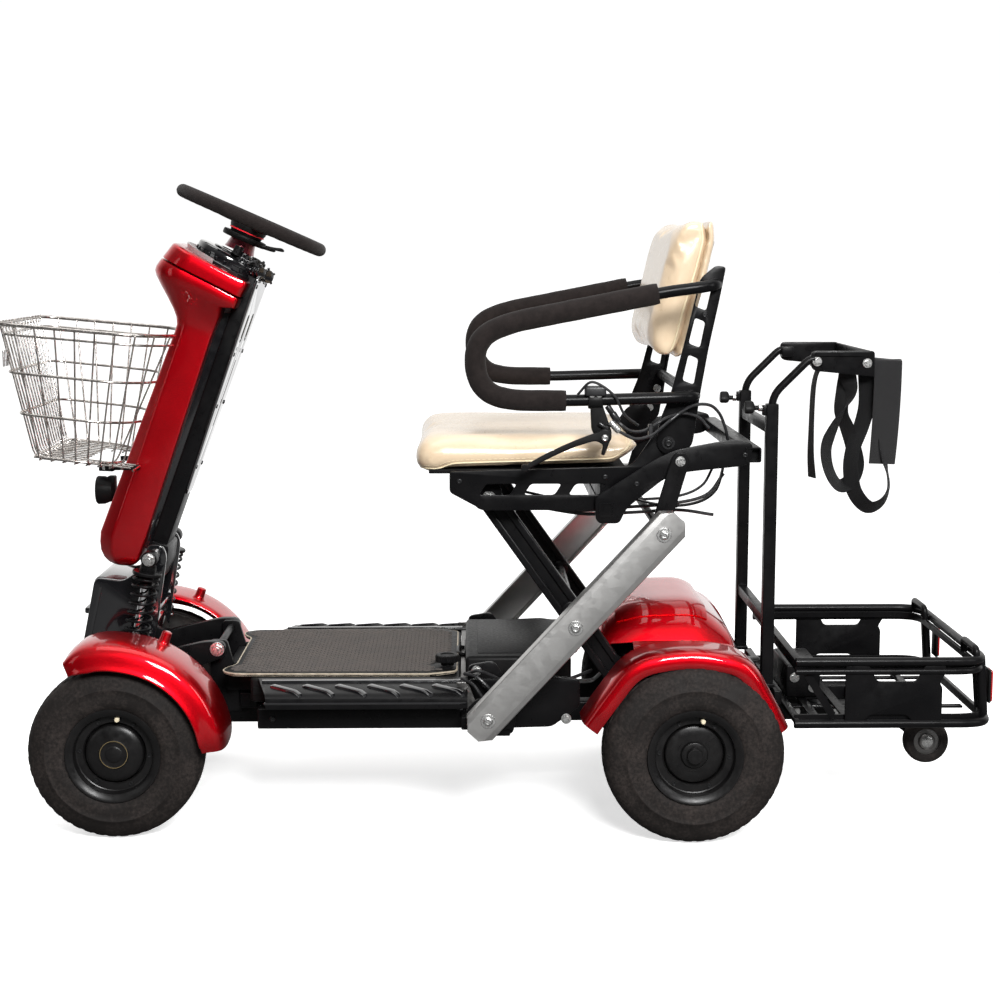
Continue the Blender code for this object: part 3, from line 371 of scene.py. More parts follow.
    def plate(self, outline, low, high, plane='xz', holes=(), bevel=0.7, steps=1, mat=0,
              place=None):
        """A flat outline with thickness from low to high and softened edges."""
        half = abs(high - low) / 2
        bevel = min(bevel, half * 0.8)
        curve = bpy.data.curves.new("outline", 'CURVE')
        curve.dimensions = '2D'
        curve.fill_mode = 'BOTH'
        curve.extrude = half - bevel
        curve.bevel_depth = bevel
        curve.bevel_resolution = steps
        curve.offset = -bevel
        for loop in [outline] + list(holes):
            line = curve.splines.new('POLY')
            line.points.add(len(loop) - 1)
            for i, p in enumerate(loop):
                line.points[i].co = (p[0], p[1], 0.0, 1.0)
            line.use_cyclic_u = True
        ob = bpy.data.objects.new("outline", curve)
        bpy.context.scene.collection.objects.link(ob)
        mesh = evaluated_mesh(ob)
        bpy.data.objects.remove(ob, do_unlink=True)
        bpy.data.curves.remove(curve)
        bm = bmesh.new()
        bm.from_mesh(mesh)
        bpy.data.meshes.remove(mesh)
        bmesh.ops.remove_doubles(bm, verts=bm.verts, dist=0.001)
        middle = (low + high) / 2
        verts = []
        for x, y, z in [v.co for v in bm.verts]:
            if plane == 'xz':
                verts.append((x, middle - z, y))
            elif plane == 'yz':
                verts.append((middle + z, x, y))
            else:
                verts.append((x, y, middle + z))
        if place is not None:
            verts = [place @ Vector(p) for p in verts]
        self.put_bmesh(bm, verts, mat)

    def shell(self, grid, thick, flip=1.0):
        """A curved sheet given as a grid of points, with its thickness behind it."""
        rows, cols = len(grid), len(grid[0])
        grid = [[Vector(p) for p in row] for row in grid]
        outer, inner = [], []
        for i in range(rows):
            for j in range(cols):
                down = grid[min(i + 1, rows - 1)][j] - grid[max(i - 1, 0)][j]
                across = grid[i][min(j + 1, cols - 1)] - grid[i][max(j - 1, 0)]
                normal = down.cross(across)
                normal = normal.normalized() * flip if normal.length > 1e-9 else Vector(Z_AXIS)
                outer.append(grid[i][j])
                inner.append(grid[i][j] - normal * thick)

        def at(i, j, layer=0):
            return layer * rows * cols + i * cols + j
        faces = []
        for i in range(rows - 1):
            for j in range(cols - 1):
                faces.append((at(i, j), at(i + 1, j), at(i + 1, j + 1), at(i, j + 1)))
                faces.append((at(i, j, 1), at(i, j + 1, 1), at(i + 1, j + 1, 1), at(i + 1, j, 1)))
        for i in range(rows - 1):
            for j in (0, cols - 1):
                faces.append((at(i, j), at(i, j, 1), at(i + 1, j, 1), at(i + 1, j)))
        for j in range(cols - 1):
            for i in (0, rows - 1):
                faces.append((at(i, j), at(i, j + 1), at(i, j + 1, 1), at(i, j, 1)))
        self.put(outer + inner, faces)


def evaluated_mesh(ob):
    bpy.context.view_layer.update()
    return bpy.data.meshes.new_from_object(ob.evaluated_get(
        bpy.context.evaluated_depsgraph_get()))


# --- materials
def add_node(tree, kind, inputs=(), **settings):
    """Add a shader node; inputs maps a socket to a value or to the socket that feeds it."""
    node = tree.nodes.new("ShaderNode" + kind)
    for key, value in settings.items():
        setattr(node, key, value)
    for key, value in dict(inputs).items():
        if isinstance(value, bpy.types.NodeSocket):
            tree.links.new(value, node.inputs[key])
        else:
            node.inputs[key].default_value = value
    return node


class Look:
    """A Principled material with procedural textures.

    tint and gloss drive the base colour and the roughness from noise:
    (scale, detail, upper stop, value at stop 0.3, value at the upper stop).
    bump is noise too: (scale, detail, depth in metres, strength).
    """

    def __init__(self, name, color, rough, metal=0.0, tint=None, gloss=None, bump=None,
                 **inputs):
        self.material = bpy.data.materials.new(name)
        self.material.use_nodes = True
        self.tree = self.material.node_tree
        self.shader = self.tree.nodes["Principled BSDF"]
        inputs.update(Base_Color=(*color, 1), Roughness=rough, Metallic=metal)
        for key, value in inputs.items():
            self.shader.inputs[key.replace("_", " ")].default_value = value
        coords = add_node(self.tree, "TexCoord")
        self.object_coords = coords.outputs["Object"]
        self.uv_coords = coords.outputs["UV"]
        self.last_bump = None
        for socket, wanted in (("Base Color", tint), ("Roughness", gloss)):
            if wanted:
                scale, detail, stop, low, high = wanted
                self.vary(socket, self.noise(scale, detail), (0.3, low), (stop, high))
        if bump:
            scale, detail, depth, strength = bump
            self.bump(self.noise(scale, detail), depth, strength)

    def noise(self, scale, detail=3.0, rough=0.55, vector=None):
        return add_node(self.tree, "TexNoise", {
            "Vector": vector or self.object_coords, "Scale": scale, "Detail": detail,
            "Roughness": rough}).outputs["Fac"]

    def cells(self, scale, feature='F1', output="Distance"):
        return add_node(self.tree, "TexVoronoi", {"Vector": self.object_coords, "Scale": scale},
                        feature=feature).outputs[output]

    def cell_channels(self, scale):
        """Random values per cell, as separate channels."""
        color = self.cells(scale, output="Color")
        return add_node(self.tree, "SeparateColor", {"Color": color}).outputs

    def stretched(self, scale, source=None, turn=(0, 0, 0)):
        return add_node(self.tree, "Mapping", {
            "Vector": source or self.object_coords, "Scale": scale,
            "Rotation": turn}).outputs["Vector"]

    def wave(self, scale, direction, source=None):
        """Bands; scale stretches the coordinates along each axis."""
        return add_node(self.tree, "TexWave", {
            "Vector": self.stretched(scale, source), "Scale": 1.0},
            bands_direction=direction).outputs["Fac"]

    def ramp(self, factor, *stops):
        """Colour ramp; each stop is (position, grey or colour)."""
        node = add_node(self.tree, "ValToRGB", {"Fac": factor})
        elements = node.color_ramp.elements
        while len(elements) > 1:
            elements.remove(elements[-1])
        for i, (position, value) in enumerate(stops):
            element = elements.new(position) if i else elements[0]
            element.position = position
            element.color = (*value, 1) if isinstance(value, tuple) else (value,) * 3 + (1,)
        return node.outputs["Color"]

    def math(self, operation, first, second):
        return add_node(self.tree, "Math", {0: first, 1: second}, operation=operation).outputs[0]

    def mix(self, factor, first, second):
        return add_node(self.tree, "Mix", {0: factor, 6: (*first, 1), 7: (*second, 1)},
                        data_type='RGBA').outputs[2]

    def feed(self, socket, value):
        self.tree.links.new(value, self.shader.inputs[socket])

    def vary(self, socket, factor, *stops):
        self.feed(socket, self.ramp(factor, *stops))

    def bump_node(self, height, depth, strength):
        return add_node(self.tree, "Bump", {
            "Strength": strength, "Distance": depth, "Height": height})

    def bump(self, height, depth, strength, coat=False):
        """Add relief on top of the relief so far."""
        node = self.bump_node(height, depth, strength)
        if self.last_bump is not None:
            self.tree.links.new(self.last_bump, node.inputs["Normal"])
        self.last_bump = node.outputs["Normal"]
        self.feed("Normal", self.last_bump)
        if coat:
            self.feed("Coat Normal", self.last_bump)


# candy red over metallic flake, with a faintly uneven clear coat
look = Look("red_lacquer", (0.5, 0.001, 0.004), 0.43, 0.93, gloss=(26, 4, 0.7, 0.36, 0.41),
            Coat_Weight=1.0, Coat_Roughness=0.03, Coat_IOR=1.42, Specular_IOR_Level=0.25)
flake = look.cell_channels(scale=3800)
look.vary("Base Color", look.math('MULTIPLY', flake[0], 1.0),
          (0.0, (0.34, 0.0, 0.003)), (0.7, (0.50, 0.0004, 0.006)), (1.0, (0.80, 0.003, 0.011)))
look.bump(flake[1], depth=0.00002, strength=0.25)
look.feed("Coat Normal", look.bump_node(look.noise(scale=260, detail=2), depth=0.00003,
                                        strength=0.25).outputs["Normal"])
RED = look.material

# semi-gloss powder coat
FRAME = Look("frame_black", (0.008, 0.008, 0.009), 0.3, Specular_IOR_Level=0.13,
             tint=(18, 5, 0.75, (0.0026, 0.0026, 0.003), (0.0058, 0.0055, 0.0058)),
             gloss=(60, 4, 0.7, 0.24, 0.38), bump=(600, 2, 0.00002, 0.25)).material
# satin moulded plastic
PLASTIC = Look("black_plastic", (0.011, 0.011, 0.012), 0.45, Specular_IOR_Level=0.12,
               tint=(40, 4, 0.75, (0.0042, 0.0042, 0.0045), (0.0085, 0.0082, 0.0082)),
               gloss=(220, 3, 0.7, 0.38, 0.52), bump=(2400, 2, 0.00004, 0.5)).material
GLOSS = Look("gloss_black", (0.005, 0.005, 0.006), 0.12, Coat_Weight=1.0, Coat_Roughness=0.03,
             gloss=(90, 4, 0.75, 0.08, 0.2), bump=(150, 2, 0.00003, 0.3)).material
PANEL = Look("mirror_black", (0.012, 0.012, 0.013), 0.05, IOR=1.9, Coat_Weight=1.0,
             Coat_Roughness=0.02, Coat_IOR=1.7,
             gloss=(60, 4, 0.75, 0.03, 0.09), bump=(120, 2, 0.00001, 0.2)).material

# tyre rubber with dust
look = Look("tyre_rubber", (0.022, 0.02, 0.019), 0.78, Specular_IOR_Level=0.22)
patches = look.noise(scale=16, detail=6, rough=0.65)
grit = look.noise(scale=230, detail=4, rough=0.7)
dust = look.ramp(look.math('MULTIPLY', patches, grit), (0.2, 0.0), (0.42, 1.0))
look.feed("Base Color", look.mix(dust, (0.0085, 0.0068, 0.0062), (0.034, 0.027, 0.0245)))
look.vary("Roughness", patches, (0.3, 0.62), (0.7, 0.9))
look.bump(look.noise(scale=700, detail=4, rough=0.7), depth=0.0002, strength=0.55)
TYRE = look.material

RIM = Look("rim_black", (0.009, 0.009, 0.01), 0.33, Specular_IOR_Level=0.26,
           tint=(35, 5, 0.75, (0.0042, 0.004, 0.0042), (0.0095, 0.009, 0.009)),
           gloss=(140, 4, 0.7, 0.27, 0.42), bump=(1100, 2, 0.00004, 0.4)).material

# galvanised sheet: spangle patches and rolling streaks
look = Look("galvanised", (0.72, 0.73, 0.74), 0.36, 1.0)
spangle = look.cell_channels(scale=95)
grain = look.stretched((0.25, 1, 3.0), turn=(0, radians(47), 0))
streaks = look.noise(scale=260, detail=3, rough=0.6, vector=grain)
mottle = look.noise(scale=70, detail=6, rough=0.7)
look.feed("Base Color", look.mix(look.math('MULTIPLY', mottle, 0.8),
                                 (0.54, 0.535, 0.525), (0.42, 0.415, 0.405)))
look.vary("Roughness", look.math('ADD', look.math('MULTIPLY', spangle[0], 0.35),
                                 look.math('MULTIPLY', streaks, 0.65)), (0.25, 0.37), (0.8, 0.46))
look.bump(streaks, depth=0.00005, strength=0.35)
GALV = look.material

ZINC = Look("zinc_bolt", (0.68, 0.68, 0.66), 0.28, 1.0,
            tint=(320, 4, 0.7, (0.48, 0.48, 0.47), (0.78, 0.78, 0.77)),
            gloss=(700, 3, 0.7, 0.2, 0.42), bump=(1500, 2, 0.00003, 0.5)).material
BOLT = Look("black_bolt", (0.02, 0.02, 0.021), 0.3, 0.6,
            gloss=(600, 3, 0.7, 0.22, 0.45), bump=(1500, 2, 0.00003, 0.4)).material
CHROME = Look("chrome", (0.8, 0.8, 0.81), 0.09, 1.0,
              gloss=(300, 3, 0.7, 0.06, 0.16), bump=(900, 2, 0.00002, 0.3)).material
WIRE = Look("basket_wire", (0.52, 0.49, 0.46), 0.22, 1.0,
            tint=(90, 5, 0.7, (0.30, 0.275, 0.255), (0.62, 0.59, 0.56)),
            gloss=(400, 3, 0.7, 0.16, 0.34), bump=(1200, 2, 0.00003, 0.4)).material

# cream vinyl: pebbled grain and fine wrinkles
look = Look("cream_vinyl", (0.74, 0.62, 0.44), 0.3, gloss=(150, 3, 0.7, 0.26, 0.38),
            Coat_Weight=0.75, Coat_Roughness=0.09, Coat_IOR=1.55, Specular_IOR_Level=0.35)
hue = look.ramp(look.noise(scale=26, detail=5, rough=0.6), (0.35, 0.0), (0.7, 1.0))
look.feed("Base Color", look.mix(hue, (0.66, 0.52, 0.36), (0.60, 0.46, 0.31)))
pebbles = look.cells(scale=1050, feature='DISTANCE_TO_EDGE')
look.bump(look.ramp(pebbles, (0.0, 0.0), (0.12, 1.0)), depth=0.00008, strength=0.35)
look.bump(look.noise(scale=60, detail=4, rough=0.6), depth=0.0009, strength=0.22, coat=True)
VINYL = look.material

look = Look("cream_piping", (0.72, 0.62, 0.42), 0.36, gloss=(300, 3, 0.7, 0.3, 0.45))
look.bump(look.cells(scale=1300, feature='DISTANCE_TO_EDGE'), depth=0.00008, strength=0.4)
PIPING = look.material

# floor mat rubber
look = Look("mat_rubber", (0.085, 0.075, 0.068), 0.72, Specular_IOR_Level=0.3)
wear = look.noise(scale=45, detail=6, rough=0.65)
look.feed("Base Color", look.mix(look.ramp(wear, (0.3, 0.0), (0.72, 1.0)),
                                 (0.05, 0.043, 0.039), (0.098, 0.084, 0.076)))
look.vary("Roughness", wear, (0.3, 0.6), (0.7, 0.85))
look.bump(look.noise(scale=1300), depth=0.0001, strength=0.6)
MAT_RUBBER = look.material
MAT_EDGE = Look("mat_edge", (0.50, 0.43, 0.33), 0.6,
                tint=(120, 4, 0.7, (0.33, 0.28, 0.21), (0.55, 0.48, 0.37))).material

# closed-cell foam
look = Look("foam_grip", (0.016, 0.0125, 0.012), 0.92, Sheen_Weight=0.05, Sheen_Roughness=0.5,
            Specular_IOR_Level=0.15)
patches = look.ramp(look.noise(scale=75, detail=5, rough=0.7), (0.3, 0.0), (0.75, 1.0))
look.feed("Base Color", look.mix(patches, (0.0095, 0.0072, 0.0068), (0.019, 0.0145, 0.0135)))
look.bump(look.cells(scale=1500), depth=0.0003, strength=0.6)
look.bump(look.noise(scale=160), depth=0.0004, strength=0.3)
FOAM = look.material

# nylon webbing, woven along the strap's own directions
look = Look("webbing", (0.012, 0.012, 0.013), 0.7, Sheen_Weight=0.06, Sheen_Roughness=0.4,
            Specular_IOR_Level=0.2)
weave = look.math('MULTIPLY', look.wave((560, 0, 0), 'X', look.uv_coords),
                  look.wave((0, 300, 0), 'Y', look.uv_coords))
look.vary("Base Color", weave, (0.0, (0.0025, 0.0025, 0.0028)), (0.6, (0.013, 0.013, 0.014)))
look.bump(weave, depth=0.0006, strength=0.8)
WEBBING = look.material

look = Look("loop_tape", (0.010, 0.010, 0.011), 0.95, Sheen_Weight=0.12, Sheen_Roughness=0.6,
            Specular_IOR_Level=0.2)
look.vary("Base Color", look.noise(scale=1400, detail=4, rough=0.7),
          (0.3, (0.003, 0.003, 0.0034)), (0.75, (0.022, 0.021, 0.022)))
look.bump(look.noise(scale=1700, rough=0.8), depth=0.0009, strength=0.9)
LOOP_TAPE = look.material

# lamp glass, with moulded flutes
look = Look("red_lens", (0.55, 0.006, 0.008), 0.12, Coat_Weight=1.0, Transmission_Weight=0.25)
look.vary("Base Color", look.wave((0, 900, 900), 'DIAGONAL'),
          (0.2, (0.35, 0.002, 0.004)), (0.8, (0.75, 0.015, 0.015)))
look.bump(look.wave((0, 900, 0), 'Y'), depth=0.0003, strength=0.7)
LENS = look.material
look = Look("lamp", (0.85, 0.87, 0.9), 0.08, Coat_Weight=1.0, Transmission_Weight=0.7,
            gloss=(200, 3, 0.7, 0.05, 0.14))
look.bump(look.wave((0, 800, 0), 'Y'), depth=0.0003, strength=0.6)
LAMP = look.material

STEM = Look("stem_lacquer", (0.23, 0.03, 0.05), 0.22, 0.35, Coat_Weight=1.0, Coat_Roughness=0.04,
            tint=(60, 4, 0.7, (0.2, 0.022, 0.04), (0.3, 0.045, 0.06)),
            bump=(1500, 2, 0.00003, 0.3)).material
RED_LINE = Look("red_line", (0.6, 0.01, 0.02), 0.35, bump=(1500, 2, 0.00003, 0.3)).material
CREAM = Look("cream_cap", (0.72, 0.63, 0.45), 0.45,
             tint=(900, 3, 0.7, (0.62, 0.53, 0.36), (0.78, 0.7, 0.52))).material
BRASS = Look("brass_line", (0.55, 0.42, 0.22), 0.35, 1.0, bump=(900, 2, 0.00003, 0.4)).material
GREY = Look("grey_metal", (0.19, 0.185, 0.18), 0.34, 0.9,
            gloss=(260, 3, 0.7, 0.26, 0.44), bump=(1200, 2, 0.00004, 0.4)).material
CABLE = Look("cable_sleeve", (0.010, 0.010, 0.011), 0.4,
             gloss=(200, 3, 0.7, 0.32, 0.5), bump=(1600, 2, 0.00005, 0.5)).material
SMOKE = Look("smoke_shield", (0.55, 0.5, 0.5), 0.15, Transmission_Weight=0.55, Coat_Weight=0.6,
             bump=(80, 2, 0.0002, 0.3)).material

# every CAD node gets its slot's finish; most are replaced below
SLOTS = {"frame_black": FRAME, "red_lacquer": RED, "black_plastic": PLASTIC,
         "gloss_black": GLOSS, "tyre_rubber": TYRE, "rim_black": RIM, "galvanised": GALV,
         "chrome": CHROME, "basket_wire": WIRE, "cream_vinyl": VINYL, "mat_rubber": MAT_RUBBER,
         "foam_grip": FOAM, "webbing": WEBBING, "red_lens": LENS, "lamp": LAMP}
for part in frame["record"]["subparts"]:
    mesh = frame["nodes"][part["node"]].data
    mesh.materials.clear()
    mesh.materials.append(SLOTS[part["material_slot"]])
    for face in mesh.polygons:
        face.material_index = 0

# --- wheels
# (radius, half width) from the bead over the bulged sidewall
SIDEWALL = table("""59.8 27, 62 33, 67.4 37.2, 69.6 38.6, 73 40.6, 80 42, 88 42.5, 96 42.2,
    97 42.9, 98.2 42.9, 99.2 41.9""")
# (depth below the tread, half width) from the shoulder over the grooves to the middle
CROWN = table("""22 40.2, 14 37.6, 8.5 34.2, 4.8 30.5, 2.6 26, 1.4 22.4, 4.2 21.6, 4.2 19.6,
    0.9 18.8, 0.4 12.5, 3.4 11.8, 3.4 9.8, 0.1 9, 0 4, 0 0""")
# rim in (radius, distance outward from the wheel's middle): inner face, rolled flanges
RIM_PROFILE = table("""0 -21.4, 11 -21.4, 12 -20.6, 30 -19.4, 40 -18, 46 -15, 50 -13, 54.8 -14,
    54.8 -24.8, 56.2 -25.6, 57 -28, 57.4 -34, 58.2 -37.2, 64.4 -41.2, 67.4 -42.4, 69.2 -41.4,
    67.2 -38.9, 61.2 -35.2, 59.6 -30, 59.2 -20, 59.2 20, 59.6 30, 61.2 35.2, 64.2 37.8,
    67.2 38.9, 68.9 40.3, 69.4 41.6, 68.8 42.6, 67.4 42.6, 64.4 41.2, 60.6 39.2, 58.2 37.2,
    57.4 34, 57 28, 56.2 25.6, 54.8 24.8""")
# bolt ring, groove, domed bell and centre cap
BELLS = {
    "front": table("""46.4 24.6, 44.6 22.5, 43.6 15, 42.8 15, 42.6 23.5, 41.6 26.2, 39.8 27.8,
        34 29.6, 27 31, 22 31.8, 21.4 32.6, 20.6 33.2, 19 33.2, 18.4 32.6, 17.6 32.4,
        12.5 32.6, 11.6 33.4, 10.8 33.8, 0 34.2"""),
    "rear": table("""46.4 24.6, 44.6 22.5, 43.6 12, 42.8 12, 42.4 18.5, 41.2 21.4, 39.4 22.6,
        30 23.6, 20.2 24.2, 19.2 25.6, 18.2 27.8, 16.8 28.4, 11.6 28.6, 11.2 30, 10.9 36.4,
        10.2 37, 0 37.2"""),
}


def wheel(kind, side, sign, axle, track):
    """A tyre that stands on the ground, and its rim; track is the wheel's |Y|."""
    front = kind == "front"
    body = kind + "_wheel_" + side
    tread_radius = axle[1]
    centre, outward = Vector((axle[0], sign * track, axle[1])), Vector((0, sign, 0))

    def tread(row, angle, radius, height):
        """Cut the shoulder blocks and the crown's slanted nicks."""
        if radius > tread_radius - 12 and abs(height) > 20:
            if sin(angle * 44 + (0.9 if height > 0 else 0)) > 0.62:
                radius -= 0.9 * min(1.0, (radius - (tread_radius - 12)) / 6)
        elif radius > tread_radius - 1.5 and sin(angle * 44 + height * 0.22) > 0.8:
            radius -= 0.7
        return radius, height
    half = SIDEWALL + [(tread_radius - depth, width) for depth, width in CROWN]
    kit = Kit()
    kit.turn(half + [(radius, -width) for radius, width in reversed(half[:-1])], centre, outward,
             steps=264, close=True, shape=tread)
    kit.make(kind + "_tyre_skin_" + side, [TYRE], body, "tyre_rubber",
             kind + "_tyre_" + side, sharp=50)

    def at(radius, angle, height):
        """Point on the outer face; 0 degrees is to the rear, 90 up."""
        angle = radians(angle)
        return centre + Vector((cos(angle) * radius, 0, sin(angle) * radius)) + outward * height
    kit = Kit()
    kit.turn(RIM_PROFILE + BELLS[kind], centre, outward, steps=96)
    for i in range(6):
        kit.screw('cap', at(50.6, 56 + 60 * i, 24.7), outward, 3.1, 1.9)
    # radial ribs on the bell: angles, inner radius and height, outer height
    if front:
        angles, root, root_height, tip_height = range(58, 418, 60), 23.5, 30.9, 27.6
    else:
        angles, root, root_height, tip_height = (40, 220), 20.5, 23.9, 22.5
    for angle in angles:
        start, end = at(root, angle, root_height), at(38.5, angle, tip_height)
        kit.sweep([start, (start + end) / 2 + outward * 0.35, end],
                  table("0.55 -0.7, 0.55 0.7, -0.8 1.1, -0.8 -1.1"), up=outward)
    if front:
        kit.turn("19.9 33.15, 20.4 33.3, 20.4 33.55, 19.5 33.55, 19.5 33.15", centre, outward,
                 steps=64, mat=3, close=True)
    else:
        for i in range(3):
            kit.sweep([at(24, 20 + 115 * i + j * 5, 24.2) for j in range(7)],
                      table("0.5 -0.6, 0.5 0.6, -0.6 0.9, -0.6 -0.9"), up=outward)
    # tyre valve with its cap
    valve = at(52.4, 83 if front else 78, 24.6)
    kit.rod(valve, valve + outward * 5, 3, mat=1, steps=16)
    kit.turn("0 4, 3.4 4, 3.7 5, 3.7 10.5, 3.2 12, 2.4 12.6, 0 12.8", valve, outward, steps=20,
             mat=2)
    kit.make(kind + "_rim_cast_" + side, [RIM, BOLT, CREAM, BRASS], body, "rim_black",
             kind + "_rim_" + side, sharp=28)


for side, sign in SIDES:
    wheel("front", side, sign, FRONT_AXLE, 200)
    wheel("rear", side, sign, REAR_AXLE, 237.5)

# --- front fenders: a section of (radius from the axle, |Y|) swept over a range of angles
FENDER_SECTION = table("""157 151.2, 159.3 152, 160.6 154.5, 161.2 160, 161.9 172, 162.4 188,
    162.6 203, 162.3 216, 161.2 227, 159 235.5, 155.6 241.4, 151.2 244.8, 146.2 246.6,
    140.6 248, 134.6 249.6, 130.6 251, 128.8 252.1, 127.6 252.4""")
FENDER_START, FENDER_END, FENDER_STEPS = 3, 116, 64


def front_fender_row(sign, angle):
    """Section at an angle; it draws in where the tail and the nose round off."""
    tail = max(0.0, 1 - (angle - FENDER_START) / 9)
    nose = max(0.0, 1 - (FENDER_END - angle) / 13)
    lift = 4 * exp(-((angle - 100) / 12) ** 2)
    row = []
    for radius, y in FENDER_SECTION:
        share = (y - 151.2) / 101.2
        radius -= 3.4 * tail ** 2 + 11 * nose ** 2.2
        # the outer skirt is drawn up at both ends
        radius += max(0, share - 0.82) / 0.18 * (15 * nose ** 1.5 + 6 * tail ** 2)
        radius += lift * (1 - share * 0.4)
        y -= share ** 3 * (7 * nose ** 2 + 4 * tail ** 2)
        row.append((FRONT_AXLE[0] + radius * cos(radians(angle)), sign * y,
                    FRONT_AXLE[1] + radius * sin(radians(angle))))
    return row


def on_fender(sign, angle, y, radius=162):
    """Point on the fender and its radial direction."""
    radial = Vector((cos(radians(angle)), 0, sin(radians(angle))))
    axle = Vector((FRONT_AXLE[0], 0, FRONT_AXLE[1]))
    return axle + radial * radius + Vector((0, sign * y, 0)), radial


for side, sign in SIDES:
    kit = Kit()
    grid = [front_fender_row(sign, FENDER_START + (FENDER_END - FENDER_START) * i / FENDER_STEPS)
            for i in range(FENDER_STEPS + 1)]
    kit.shell(grid, 2.6, flip=sign)
    # rolled beads along the outer and inner edges
    kit.sweep([row[-1] for row in grid[2:-2]], 1.5, ends='round')
    kit.sweep([row[0] for row in grid[2:-2]], 1.3, ends='round')
    kit.make("front_fender_shell_" + side, [RED], "steering_" + side, "red_lacquer",
             "front_fender_" + side, sharp=40)
    # post and dimpled screws
    kit = Kit()
    place, radial = on_fender(sign, 66.5, 172, 160.5)
    kit.turn("""0 -1, 15 -1, 14.2 1.6, 11 4, 8.6 7.2, 7.8 11, 7.4 20, 7 21.6, 5.4 22.6,
        0 22.8""", place, (radial + Vector((0.15, 0, 0.5))).normalized(), steps=32)
    for angle, y in ((93, 190), (72, 205), (31, 163)):
        place, radial = on_fender(sign, angle, y)
        kit.turn("0 -1.2, 9 -1.2, 8.6 0.25, 7 0.7, 5.6 0.35, 4.9 -0.5, 0 -0.5", place, radial,
                 steps=28)
        kit.screw('pan', place - radial * 0.6, radial, 4.2, 2)
    kit.make("front_fender_fittings_" + side, [RED, BOLT], "steering_" + side, "red_lacquer",
             sharp=40)

# --- rear fenders: an arch in (x, z) with a rounded outer shoulder
ARCH = densify(rounded("160 178 0, 228 271 34, 312 287 40, 402 271 34, 457 170 0", 7,
                       closed=False), 9)
ARCH_CENTRE = Vector((312, 150))
# (depth inside the arch, |Y|)
SHOULDER = table("""0.2 197.2, 0.2 205, 0.2 220, 0.2 236, 0.4 247, 1.4 253, 3.2 257.2, 6 260.2,
    9.6 262, 14 262.9, 19 263.2, 23 263.3, 24.2 262.9""")


def arch_normal(i):
    along = tangent(ARCH, i)
    normal = Vector((-along.y, along.x))
    return -normal if normal.dot(ARCH[i] - ARCH_CENTRE) < 0 else normal


for side, sign in SIDES:
    kit = Kit()
    grid = []
    for i, point in enumerate(ARCH):
        from_end = min(i, len(ARCH) - 1 - i)
        shrink = 0.0 if from_end > 3 else (3 - from_end) * 0.9
        row = []
        for depth, y in SHOULDER:
            place = point - arch_normal(i) * (depth + shrink * 0.5)
            row.append((place.x, sign * (y - shrink * max(0, (y - 240) / 24)), place.y))
        grid.append(row)
    kit.shell(grid, 2.4, flip=-sign)
    kit.sweep([row[-1] for row in grid[1:-1]], 1.2, ends='round')
    kit.make("rear_fender_shell_" + side, [RED], "chassis", "red_lacquer",
             "rear_fender_" + side, sharp=40)
    # dark inner liner
    kit = Kit()
    grid = []
    for i, point in enumerate(ARCH):
        place = point - arch_normal(i) * 3.2
        grid.append([(place.x, sign * y, place.y) for y in (186, 198, 230, 256)])
    kit.shell(grid, 1.6, flip=-sign)
    kit.make("rear_fender_liner_" + side, [PLASTIC], "chassis", "black_plastic", sharp=40)

# --- rear body cover: a shallow dome, a raised lid, and shoulders down to the fenders
COVER_HALF_WIDTH, LID_HALF_WIDTH, COVER_BASE = 152, 128, 262
cover_line = rounded("""188 262 0, 191 280 10, 206 301 18, 256 318 26, 338 320 22, 366 300 16,
    389 280 8, 391 262 0""", 6, closed=False)


def dome_z(z, y):
    """Height at y of the dome whose middle line is at z."""
    return z - (z - COVER_BASE) * abs(y / COVER_HALF_WIDTH) ** 7 * 0.8


kit = Kit()
kit.shell([[(x, y, dome_z(z, y)) for y in [COVER_HALF_WIDTH * i / 16 for i in range(-16, 17)]]
           for x, z in cover_line], 3, flip=-1)
kit.shell([[(x, LID_HALF_WIDTH * i / 16, dome_z(z, LID_HALF_WIDTH * i / 16) + 2.8
             + 3.4 * (1 - (abs(i) / 16) ** 10)) for i in range(-16, 17)]
           for x, z in cover_line if z >= 304 and 214 <= x <= 356], 2.6, flip=-1)
SHOULDER_DROP = table("149 1.2, 158 -0.6, 168 -2.4, 178 -6, 186 -12")     # (|Y|, rise)
for sign in (-1, 1):
    kit.shell([[(x, sign * y, dome_z(z, COVER_HALF_WIDTH) + rise) for y, rise in SHOULDER_DROP]
               for x, z in cover_line if x >= 234 and z >= 268], 2.4, flip=-sign)
kit.make("rear_cover_dome", [RED, PLASTIC], "chassis", "red_lacquer", "rear_cover", sharp=40)


# --- tiller cover
def cover_ring(front_x, front_z, rear_x, rear_z, half_width, chamfer, nose_cut, side_cut,
               rear_cut, inset=0.0):
    """Ring round the tiller, in the tilted plane from its front point to its rear one."""
    start = Vector((front_x, front_z))
    span = Vector((rear_x, rear_z)) - start
    along = span.normalized()
    start = start + along * inset
    depth = span.length - 2 * inset
    half_width = half_width - inset
    nose = half_width - chamfer * 0.85
    loop = soften([(0, -nose), (chamfer, -half_width), (depth, -half_width),
                   (depth, half_width), (chamfer, half_width), (0, nose)],
                  [nose_cut, side_cut, rear_cut, rear_cut, side_cut, nose_cut], 5)
    return [(start.x + along.x * a, y, start.y + along.y * a) for a, y in loop]


